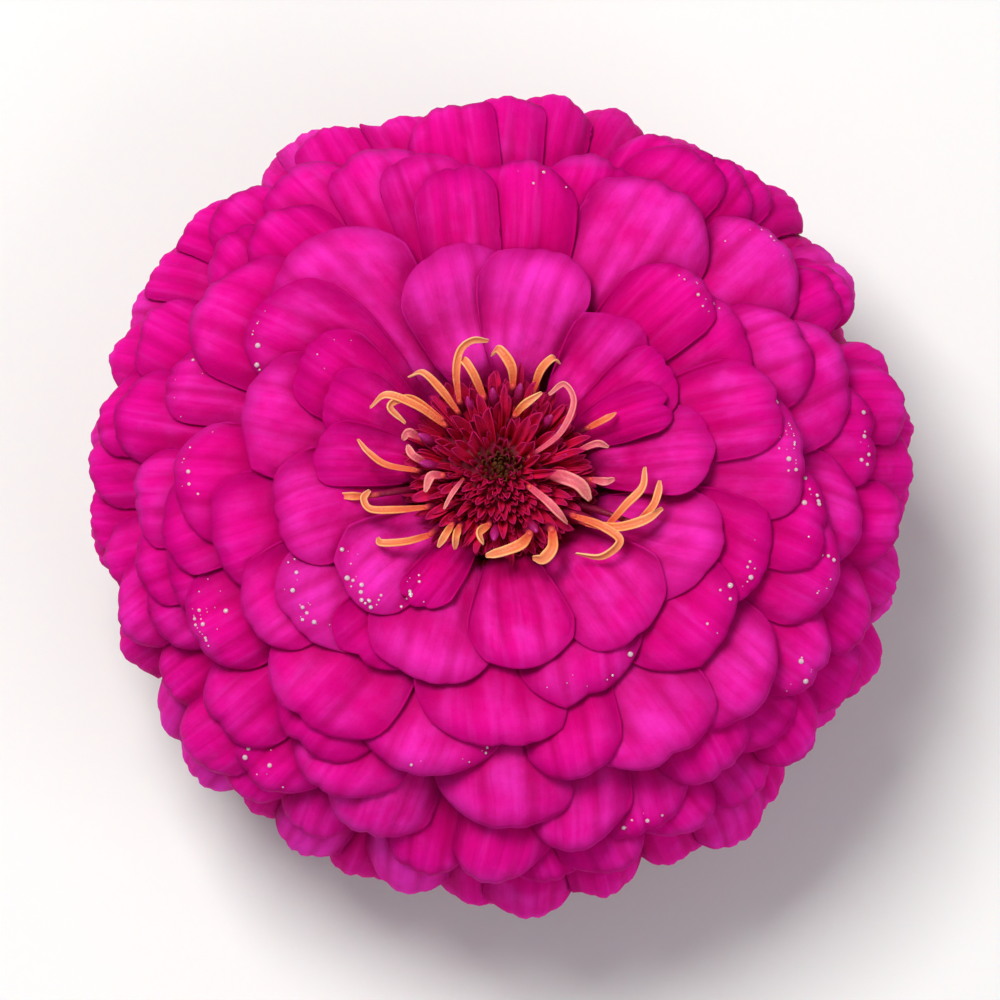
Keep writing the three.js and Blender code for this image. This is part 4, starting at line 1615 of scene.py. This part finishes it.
    def edge_forms(self, draw: np.random.Generator) -> Iterator[ScaleForm]:
        """Scales that lean out over the edge of the cushion, and shorter ones on the shoulder past it.

        Args:
            draw: where the random numbers come from.

        Returns:
            The form of each.
        """
        for k in range(self.edge_scales):
            yield ScaleForm(
                azimuth=2 * math.pi * (k + 0.5 + draw.uniform(-0.3, 0.3)) / self.edge_scales,
                radius=self.cushion_radius - draw.uniform(0.3, 0.8),
                **drawn(draw, length=(2.0, 3.9), half_width=(0.38, 0.62), lean=(0.85, 1.4)),
                **drawn(draw, curl=(-0.5, 0.2), fold=(0.7, 1.2), blunt=(0.5, 1)),
                **drawn(draw, turn=(-0.5, 0.5), tone=(0, 0.8)),
                sunk=-0.15,
            )
        for k in range(self.shoulder_scales):
            yield ScaleForm(
                azimuth=GOLDEN_ANGLE * k,
                **drawn(draw, radius=(8.3, 9.6), length=(2.4, 3.8), half_width=(0.55, 0.85)),
                **drawn(draw, lean=(0.35, 0.75), curl=(-0.2, 0.3), fold=(0.5, 0.9), blunt=(0.3, 0.9)),
                **drawn(draw, turn=(-0.3, 0.3), tone=(0.2, 1)),
                sunk=0.8,
            )

    def velvet_forms(self, draw: np.random.Generator) -> Iterator[ScaleForm]:
        """A velvet of short scales over the front of the disc.

        Args:
            draw: where the random numbers come from.

        Returns:
            The form of each.
        """
        for k in range(self.velvet_scales):
            share = (k + 0.5) / self.velvet_scales
            radius = math.sqrt(mix(self.heart_edge**2, (self.cushion_radius + 0.4) ** 2, share))
            azimuth = (GOLDEN_ANGLE * k) % (2 * math.pi)
            if math.sin(azimuth) > -0.10 - 0.25 * draw.random():
                continue
            yield ScaleForm(
                azimuth=azimuth + draw.uniform(-0.08, 0.08),
                radius=radius,
                **drawn(draw, length=(1.9, 2.9), half_width=(0.20, 0.32)),
                lean=mix(0.05, 0.75, radius / self.cushion_radius) + draw.uniform(-0.25, 0.2),
                **drawn(draw, curl=(-0.5, 0.4), blunt=(0, 0.6), turn=(-0.6, 0.6), tone=(0.1, 1)),
                fold=0.9,
                sunk=0.4,
            )

    def heart_forms(self, draw: np.random.Generator) -> Iterator[ScaleForm]:
        """The youngest scales, in an oval in the middle.

        Args:
            draw: where the random numbers come from.

        Returns:
            The form of each.
        """
        for k in range(self.heart_scales):
            radius = self.heart_radius * math.sqrt((k + 0.5) / self.heart_scales)
            azimuth = GOLDEN_ANGLE * k
            yield ScaleForm(
                azimuth=azimuth,
                radius=radius * (0.75 + 0.55 * math.cos(azimuth) ** 2),
                **drawn(draw, length=(1.6, 2.4), half_width=(0.22, 0.36), curl=(-0.6, 0)),
                **drawn(draw, turn=(-0.5, 0.5), tone=(0, 1)),
                lean=mix(-0.30, 0.25, radius / self.heart_radius),
                fold=0.9,
                blunt=0.4,
                sunk=0.2,
            )

    def build_scales(self, dark: bpy.types.Material, velvet: bpy.types.Material) -> None:
        """Builds the scales: long tongues behind with those under and round them, and the velvet.

        Args:
            dark: finish of the tongues and of the dark scales at the edge.
            velvet: finish of the short ones.
        """
        draw = np.random.default_rng(self.seed)
        behind = MeshDraft("chaff_tongues")
        for forms in (self.tongue_forms, self.under_forms, self.edge_forms):
            for form in forms(draw):
                self.add_scale(behind, form)
        behind.build(dark, Slot.CHAFF, Node.CHAFF)
        front = MeshDraft("chaff_velvet")
        for form in self.velvet_forms(draw):
            self.add_scale(front, form)
        front.build(velvet, Slot.CHAFF, Node.CHAFF)

    def build_heart(self, green: bpy.types.Material, purple: bpy.types.Material) -> None:
        """Builds the youngest florets in an oval in the middle, and closed ones at the edge.

        Args:
            green: finish of the young, green-black tips.
            purple: finish of the closed florets.
        """
        draw = np.random.default_rng(self.seed + 1)
        heart = MeshDraft("young_heart")
        for form in self.heart_forms(draw):
            self.add_scale(heart, form)
        heart.build(green, Slot.CHAFF, Node.CHAFF)
        buds = MeshDraft("closed_florets")
        for k in range(self.bud_count):
            azimuth = GOLDEN_ANGLE * k + 0.4
            radius = draw.uniform(*self.bud_places)
            foot = self.cushion_height(radius) - 0.4
            tall, lean = draw.uniform(*self.bud_lengths), draw.uniform(*self.bud_leans)
            out = radius + tall * lean * np.array([0, 0.45, 1.0])
            path = curve_through(on_azimuth(out, foot + tall * np.array([0, 0.6, 1.0]), azimuth), 10)
            if self.lobe_gap(path) < self.bud_clearance:
                continue
            points, faces, along, _ = tube(path, self.bud_radius * np.array(self.bud_form), 10)
            buds.add(points, faces, floret_place=floret_place(along, draw.uniform(0, 1)))
        buds.build(purple, Slot.CHAFF, Node.CHAFF)

    def build_florets(
        self, orange: bpy.types.Material, maroon: bpy.types.Material, peach: bpy.types.Material
    ) -> None:
        """Builds the open florets: their tubes from the plate, and the curled lobes at their mouths.

        Args:
            orange: finish of the lobes.
            maroon: finish of the tubes.
            peach: finish of the pale straps.
        """
        for name, curls, finish in (("floret_curls", CURLS, orange), ("floret_straps", STRAPS, peach)):
            ribbons = MeshDraft(name)
            for curl in curls:
                self.add_curl(ribbons, curl)
            ribbons.build(finish, Slot.FLORET, Node.FLORETS)
        tubes = MeshDraft("floret_tubes")
        for curl in CURLS + STRAPS:
            mouth = np.array(curl.points[0])
            heading = math.atan2(mouth[1], mouth[0])
            near = min(self.tube_reach, 0.85 * math.hypot(mouth[0], mouth[1]))
            foot = on_azimuth(near, self.floor + 0.7, heading)
            path = curve_through([foot, 0.5 * (foot + mouth) + [0, 0, 0.7], mouth], 9)
            points, faces, along, _ = tube(path, curl.radius * np.linspace(1.2, 0.72, 9), 10)
            tubes.add(points, faces, floret_place=floret_place(along, curl.tone))
        tubes.build(maroon, Slot.FLORET, Node.FLORETS)

    def build_bases(self, flesh: bpy.types.Material) -> None:
        """Builds the plate that the open florets stand on, and the cushion under the scales.

        Args:
            flesh: their finish.
        """
        plate = MeshDraft("receptacle_top")
        bottom, top = self.floor, self.floor + self.plate_thickness
        edge, cut = self.plate_radius, self.plate_chamfer
        outline = (
            (0, bottom), (edge - cut, bottom), (edge, bottom + cut), (edge, top - cut), (edge - cut, top),
            (0, top),
        )
        plate.add(*turned(outline, 48))
        plate.build(flesh, Slot.FLORET, Node.FLORETS)
        cushion = MeshDraft("scale_cushion")
        radii = np.linspace(self.cushion_radius, 0, 12)
        outline = [(0, self.cushion_floor)] + [(r, self.cushion_height(r)) for r in radii]
        cushion.add(*turned(outline, 48))
        cushion.build(flesh, Slot.CHAFF, Node.CHAFF)


# ---------------------------------------------------------------- the green parts


@dataclass
class BractForm:
    """One bract's place on the wall of the cup, and its form.

    It starts and ends at shares of the wall's length, and its tip stands off the wall by the stand. The
    half width and the stand are in millimetres.
    """

    azimuth: float
    start: float
    end: float
    half_width: float
    stand: float
    ripple_start: float
    tone: float


@dataclass
class Involucre:
    """The cup of overlapping green bracts under the head.

    The wall's profile has radius and height. Each row of bracts has how many there are, the shares of the
    wall's length at which they start and end, and their half width.
    """

    wall: tuple[tuple[float, float], ...] = (
        (4.6, 9.0), (8.6, 11.2), (11.2, 15.0), (12.0, 19.5), (11.6, 23.2),
    )
    rows: tuple[tuple[int, float, float, float], ...] = (
        (8, 0.08, 0.44, 3.3), (9, 0.22, 0.60, 3.9), (10, 0.38, 0.76, 4.2), (12, 0.56, 0.98, 3.8),
    )
    thickness: float = 0.4
    wall_gap: float = 0.35
    tip_roundness: float = 0.42
    foot_stand: float = 0.15
    tip_stand: float = 0.75
    wrap: float = 0.45
    ripple: float = 0.08
    seed: int = 5

    def bract_forms(self, draw: np.random.Generator) -> Iterator[BractForm]:
        """The bracts, row by row from the lowest.

        Args:
            draw: where the random numbers come from.

        Returns:
            The form of each.
        """
        for level, (count, start, end, half_width) in enumerate(self.rows):
            for k in range(count):
                yield BractForm(
                    azimuth=2 * math.pi * (k + 0.5 * (level % 2) + draw.uniform(-0.08, 0.08)) / count,
                    start=start,
                    end=end,
                    half_width=half_width,
                    stand=self.tip_stand + draw.uniform(-0.15, 0.25),
                    ripple_start=k,
                    tone=draw.uniform(0, 1),
                )

    def bract_grid(self, wall: Array, form: BractForm) -> tuple[Array, Array, Array]:
        """The middle surface of one bract.

        Args:
            wall: radius and height of points along the cup's wall.
            form: the bract's place and form.

        Returns:
            Its grid of points, its thickness, and scale_place for each point.
        """
        length = np.concatenate([[0], np.cumsum(np.linalg.norm(np.diff(wall, axis=0), axis=1))])
        length /= length[-1]
        slope = unit(np.gradient(wall, axis=0))
        along = np.linspace(0, 1, 17)[:, None]
        across = np.sin(0.5 * math.pi * np.linspace(-1, 1, 13))[None, :]
        tip = 1 - self.tip_roundness * (1 - np.sqrt(np.maximum(0, 1 - np.abs(across) ** 2.2)))
        where = form.start + (form.end - form.start) * along * tip
        radius, height = (np.interp(where, length, wall[:, k]) for k in (0, 1))
        down, out = (np.interp(where, length, slope[:, k]) for k in (0, 1))
        half = form.half_width * (0.78 + 0.22 * np.sin(math.pi * np.minimum(1, 1.2 * along)))
        stand = self.foot_stand + form.stand * along**1.5 - self.wrap * across**2
        stand = stand + self.ripple * np.sin(9 * across + 6 * along + form.ripple_start)
        turn = form.azimuth - across * half / np.maximum(radius, 4.0)
        grid = on_azimuth(radius + out * stand, height - down * stand, turn)
        thin = self.thickness * (1 - 0.55 * np.maximum(np.abs(across) ** 3, along**3))
        place = np.stack(np.broadcast_arrays(along, across, form.tone), axis=-1)
        return grid, thin + 0 * grid[..., 0], place

    def build(self, bract: bpy.types.Material, flesh: bpy.types.Material) -> None:
        """Builds the cup and the rows of bracts on it.

        Args:
            bract: finish of the bracts.
            flesh: finish of the cup behind them.
        """
        wall = curve_through([(r, 0.0, z) for r, z in self.wall], 60)[:, [0, 2]]
        inner = wall - np.array([self.wall_gap, 0.0])
        cup = MeshDraft("involucre_cup")
        cup.add(*turned(np.vstack([[0, inner[0, 1]], inner, [0, inner[-1, 1]]]), 64))
        cup.build(flesh, Slot.BRACT, Node.CUP)
        bracts = MeshDraft("involucre_bracts")
        for form in self.bract_forms(np.random.default_rng(self.seed)):
            grid, thickness, place = self.bract_grid(wall, form)
            points, faces, _ = shell(grid, thickness)
            bracts.add(points, faces, scale_place=both_faces(place))
        bracts.build(bract, Slot.BRACT, Node.CUP)


@dataclass
class Stalk:
    """The ribbed, hairy stub of stalk, cut clean across."""

    radius: float = 3.4
    flare: float = 4.6
    top: float = 8.7
    ribs: int = 10
    rib_share: float = 0.03
    cut_share: float = 0.96
    pith_share: float = 0.5
    pith_rim_share: float = 0.66
    hairs: int = 420
    hair_lengths: tuple[float, float] = (0.5, 1.1)
    hair_lifts: tuple[float, float] = (0.1, 0.6)
    hair_radii: tuple[float, ...] = (0.045, 0.03, 0.012)
    seed: int = 9

    def wall_radius(self, height: Array, azimuth: Array) -> Array:
        """The stalk's radius at a height and azimuth."""
        plain = mix(self.radius, self.flare, smooth(0.45, 1.0, height / self.top))
        return plain * (1 - self.rib_share * (1 - np.cos(self.ribs * azimuth)))

    def build(self, skin: bpy.types.Material, pith: bpy.types.Material, down: bpy.types.Material) -> None:
        """Builds the stalk, the pith that shows in the cut, and the hairs.

        Args:
            skin: finish of its outside.
            pith: finish of the cut's middle.
            down: finish of the hairs.
        """
        turn = round_steps(80)[None, :]
        heights = np.concatenate([[0.0, 0.12], np.linspace(0.5, self.top - 0.1, 22), [self.top]])[:, None]
        radius = self.wall_radius(heights, turn)
        radius[[0, -1]] *= self.cut_share
        stem = MeshDraft("stalk_stem")
        stem.add(*stacked(on_azimuth(radius, heights, turn), 0.0, self.top))
        stem.build(skin, Slot.STALK, Node.STALK)
        core = MeshDraft("stalk_pith")
        inner, outer = self.pith_share * self.radius, self.pith_rim_share * self.radius
        face = ((0, -0.02), (inner, -0.02), (outer, 0.0), (outer, 0.3), (0, 0.3))
        core.add(*turned(face, 48))
        core.build(pith, Slot.STALK, Node.STALK)
        draw = np.random.default_rng(self.seed)
        hairs = MeshDraft("stalk_hairs")
        for _ in range(self.hairs):
            azimuth, height = draw.uniform(0, 2 * math.pi), draw.uniform(0.9, self.top - 0.2)
            radius = float(self.wall_radius(height, azimuth))
            reach, lift = draw.uniform(*self.hair_lengths), draw.uniform(*self.hair_lifts)
            path = on_azimuth(
                radius + reach * np.array([-0.1, 0.5, 1.0]),
                height + reach * lift * np.array([0, 0.3, 1.0]),
                azimuth + draw.uniform(-0.05, 0.05) * np.array([0, 0.5, 1.0]),
            )
            points, faces, _, _ = tube(path, np.array(self.hair_radii), 4)
            hairs.add(points, faces)
        hairs.build(down, Slot.STALK, Node.STALK)


# ---------------------------------------------------------------- dew


# Where the drops lie thickest, seen from above: x and y in millimetres, and how many.
DEW_PATCHES = (
    (29, 19, 26), (34, 3, 34), (30, -5, 16), (-31, -14.5, 26), (-22, -18, 18), (-17, -16.5, 22),
    (-7.5, -14.5, 10), (21, 24, 9), (26, -11, 10), (40, 4, 10), (-29, 14, 8), (-33, -4, 8), (-25, -30, 10),
    (12, -28, 7), (33, -20, 10), (-20, 10, 4), (15, -36, 7), (-12, -35, 7), (3, 38, 4), (38, -12, 8),
    (24, 30, 7), (33, 26, 6), (-38, 8, 5), (22, -25, 5),
)


@dataclass
class Dew:
    """Small drops along the petals' margins, most of them close together.

    The middle of a patch lies between two shares of the petal's width. The drops spread along the margin
    by a share of that width, and in from it by a count of grid rows. The outline is of a drop of size 1.
    """

    smallest: float = 0.05
    largest: float = 0.32
    smallness: float = 2.4
    middles: tuple[float, float] = (0.2, 0.8)
    spread_along: float = 0.16
    spread_in: float = 1.6
    outline: tuple[tuple[float, float], ...] = (
        (0, -0.35), (0.72, -0.30), (0.98, 0.0), (0.90, 0.36), (0.62, 0.62), (0.28, 0.76), (0, 0.80),
    )
    seed: int = 31

    def build(self, petals: RayPetals, water: bpy.types.Material) -> None:
        """Builds the drops on petals that are laid.

        Args:
            petals: the petals that they lie on.
            water: their finish.
        """
        draw = np.random.default_rng(self.seed)
        draft = MeshDraft("dew_drops")
        form, faces = turned(self.outline, 12)
        for x, y, count in DEW_PATCHES:
            face, normals = petals.margin_near(x, y)
            rows, columns = face.shape[:2]
            middle = draw.uniform(*self.middles) * columns
            for _ in range(count):
                i = int(np.clip(rows - 1 - abs(draw.normal(0, self.spread_in)), 0, rows - 1))
                j = int(np.clip(draw.normal(middle, self.spread_along * columns), 0, columns - 2))
                share = draw.random()
                spot = (1 - share) * face[i, j] + share * face[i, j + 1]
                size = mix(self.smallest, self.largest, draw.random() ** self.smallness)
                tilt = np.array(Vector(normals[i, j]).to_track_quat("Z", "Y").to_matrix())
                draft.add(spot + size * form @ tilt.T, faces)
        draft.build(water, Slot.PETAL)


# ---------------------------------------------------------------- the studio


@dataclass(frozen=True)
class Lamp:
    """A square lamp: its place and width in metres, its power in watts, and its colour."""

    name: str
    place: tuple[float, float, float]
    width: float
    power: float
    colour: Colour


@dataclass
class Studio:
    """A pale floor, soft light and the camera at the photograph's viewing angle. Lengths are in metres."""

    sight: Sight = field(default_factory=Sight)
    floor_width: float = 3.0
    floor_level: float = -0.0002
    sky_colour: Colour = (0.94, 0.96, 1.0)
    sky_strength: float = 0.31
    lamps: tuple[Lamp, ...] = (
        Lamp("key", (-0.20, 0.22, 0.70), 0.30, 5.3, (1.0, 0.985, 0.96)),
        Lamp("fill", (0.50, -0.40, 0.60), 0.60, 1.9, (0.95, 0.97, 1.0)),
    )
    lit_point: tuple[float, float, float] = (0.0, 0.0, 0.02)

    def build_floor(self) -> None:
        """Lays the floor."""
        half, level = 0.5 * self.floor_width, self.floor_level
        mesh = bpy.data.meshes.new("floor")
        corners = [(-half, -half, level), (half, -half, level), (half, half, level), (-half, half, level)]
        mesh.from_pydata(corners, [], [(0, 1, 2, 3)])
        paper = FleshFinish("floor_paper", (0.80, 0.80, 0.79), (0.83, 0.83, 0.82), 6.0, 900.0, 0.00002)
        mesh.materials.append(paper.material())
        floor = bpy.data.objects.new("floor", mesh)
        bpy.context.scene.collection.objects.link(floor)
        floor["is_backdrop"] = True

    def add_lamp(self, lamp: Lamp) -> None:
        """Hangs a lamp that faces the bloom.

        Args:
            lamp: the lamp.
        """
        data = bpy.data.lights.new(lamp.name, "AREA")
        data.shape = "SQUARE"
        data.size = lamp.width
        data.energy = lamp.power
        data.color = lamp.colour
        holder = bpy.data.objects.new(lamp.name, data)
        bpy.context.scene.collection.objects.link(holder)
        holder.location = lamp.place
        aim = Vector(self.lit_point) - Vector(lamp.place)
        holder.rotation_euler = aim.to_track_quat("-Z", "Y").to_euler()

    def light(self) -> None:
        """Sets the sky and hangs the lamps."""
        scene = bpy.context.scene
        scene.view_settings.view_transform = "Standard"
        scene.world = bpy.data.worlds.new("sky")
        scene.world.use_nodes = True
        background = scene.world.node_tree.nodes["Background"]
        background.inputs["Color"].default_value = (*self.sky_colour, 1.0)
        background.inputs["Strength"].default_value = self.sky_strength
        for lamp in self.lamps:
            self.add_lamp(lamp)

    def aim_camera(self) -> None:
        """Sets the camera so that the bloom fills its share of the frame."""
        sight = self.sight
        middle = Vector((0.0, 0.0, sight.middle * MM))
        back = Vector((0.0, -math.cos(sight.elevation), math.sin(sight.elevation)))
        data = bpy.data.cameras.new("camera")
        data.lens = sight.lens
        data.sensor_width = sight.sensor
        data.clip_start, data.clip_end = 0.05, 20.0
        camera = bpy.data.objects.new("camera", data)
        bpy.context.scene.collection.objects.link(camera)
        camera.location = middle + back * sight.distance * MM
        camera.rotation_euler = (-back).to_track_quat("-Z", "Y").to_euler()
        bpy.context.scene.camera = camera

    def build(self) -> None:
        """Sets up the whole studio."""
        self.build_floor()
        self.light()
        self.aim_camera()


# ---------------------------------------------------------------- the finishes and the build


# The petals' seat and the disc's bed are dark: partly their own colour, partly painted shade where they
# show between the petals and the scales.
RECEPTACLE = FleshFinish("receptacle_flesh_and_shade", (0.16, 0.004, 0.05), (0.26, 0.012, 0.10))
DISC_BED = FleshFinish("disc_bed", (0.17, 0.002, 0.020), (0.25, 0.003, 0.035))
MAROON_SCALE = ScaleFinish(
    "chaff_maroon",
    foot=(0.80, 0.005, 0.036),
    middle=(0.72, 0.010, 0.075),
    tip=(0.54, 0.012, 0.12),
    fringe=(0.60, 0.02, 0.11),
    fringe_share=0.10,
    fringe_width=0.5,
    roughness=0.7,
    specular=0.004,
)
CRIMSON_SCALE = replace(
    MAROON_SCALE,
    name="chaff_crimson",
    foot=(0.76, 0.005, 0.045),
    middle=(0.70, 0.010, 0.080),
    tip=(0.62, 0.012, 0.10),
    fringe=(0.60, 0.010, 0.11),
)
GREEN_HEART = ScaleFinish(
    "heart_green",
    foot=(0.62, 0.012, 0.020),
    middle=(0.30, 0.042, 0.020),
    tip=(0.18, 0.090, 0.030),
    fringe=(0.32, 0.03, 0.02),
    fringe_share=0.4,
    fringe_width=0.2,
)
CLOSED_FLORET = TubeFinish(
    "closed_purple",
    foot=(0.22, 0.002, 0.02),
    middle=(0.34, 0.004, 0.08),
    end=(0.42, 0.012, 0.20),
    # Painted shade for a channel, which these florets are built without.
    channel=(0.2, 0.002, 0.03),
)
ORANGE_LOBE = TubeFinish(
    "curl_orange",
    foot=(0.80, 0.10, 0.06),
    middle=(0.95, 0.38, 0.13),
    end=(0.98, 0.58, 0.27),
    # Painted shade down the lobes' channels.
    channel=(0.66, 0.09, 0.035),
    turn=0.38,
    roughness=0.34,
)
MAROON_TUBE = TubeFinish(
    "tube_maroon",
    foot=(0.10, 0.002, 0.015),
    middle=(0.22, 0.003, 0.04),
    end=(0.62, 0.06, 0.05),
    # Painted shade for a channel, which these tubes are built without.
    channel=(0.2, 0.003, 0.03),
    turn=0.7,
)
PEACH_STRAP = TubeFinish(
    "strap_peach",
    foot=(0.66, 0.05, 0.14),
    middle=(0.88, 0.26, 0.26),
    end=(0.94, 0.46, 0.34),
    # Painted shade down the straps' channels.
    channel=(0.60, 0.06, 0.12),
)
GREEN_BRACT = ScaleFinish(
    "bract_green",
    foot=(0.20, 0.36, 0.09),
    middle=(0.14, 0.28, 0.05),
    tip=(0.09, 0.18, 0.04),
    fringe=(0.035, 0.018, 0.012),
    fringe_share=0.9,
    fringe_width=0.16,
    roughness=0.55,
    specular=0.3,
    grain=1800.0,
)
GREEN_CUP = FleshFinish("cup_green", (0.10, 0.20, 0.04), (0.16, 0.28, 0.07))
STALK_SKIN = FleshFinish("stalk_green", (0.16, 0.28, 0.07), (0.24, 0.36, 0.11), patch=260.0)
STALK_PITH = FleshFinish("stalk_pith_pale", (0.55, 0.62, 0.38), (0.66, 0.70, 0.48), patch=900.0)
STALK_HAIR = FleshFinish("hair_pale", (0.55, 0.58, 0.45), (0.68, 0.70, 0.60))


def write_sizes() -> None:
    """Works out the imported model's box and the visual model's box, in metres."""
    boxes = {"cad": CAD_BOX, "visual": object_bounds()}
    plain = {name: [list(corner) for corner in box] for name, box in boxes.items()}


def main() -> None:
    """Builds the studio and every sub-assembly of the bloom."""
    logging.basicConfig(level=logging.INFO, format="%(name)s: %(message)s")
    Studio().build()
    petals = RayPetals()
    petals.build(PetalFinish().material(), RECEPTACLE.material())
    disc = Disc()
    disc.build_bases(DISC_BED.material())
    disc.build_scales(MAROON_SCALE.material(), CRIMSON_SCALE.material())
    disc.build_heart(GREEN_HEART.material(), CLOSED_FLORET.material())
    disc.build_florets(ORANGE_LOBE.material(), MAROON_TUBE.material(), PEACH_STRAP.material())
    Involucre().build(GREEN_BRACT.material(), GREEN_CUP.material())
    Stalk().build(STALK_SKIN.material(), STALK_PITH.material(), STALK_HAIR.material())
    Dew().build(petals, DewFinish().material())


if __name__ == "__main__":
    main()
    write_sizes()
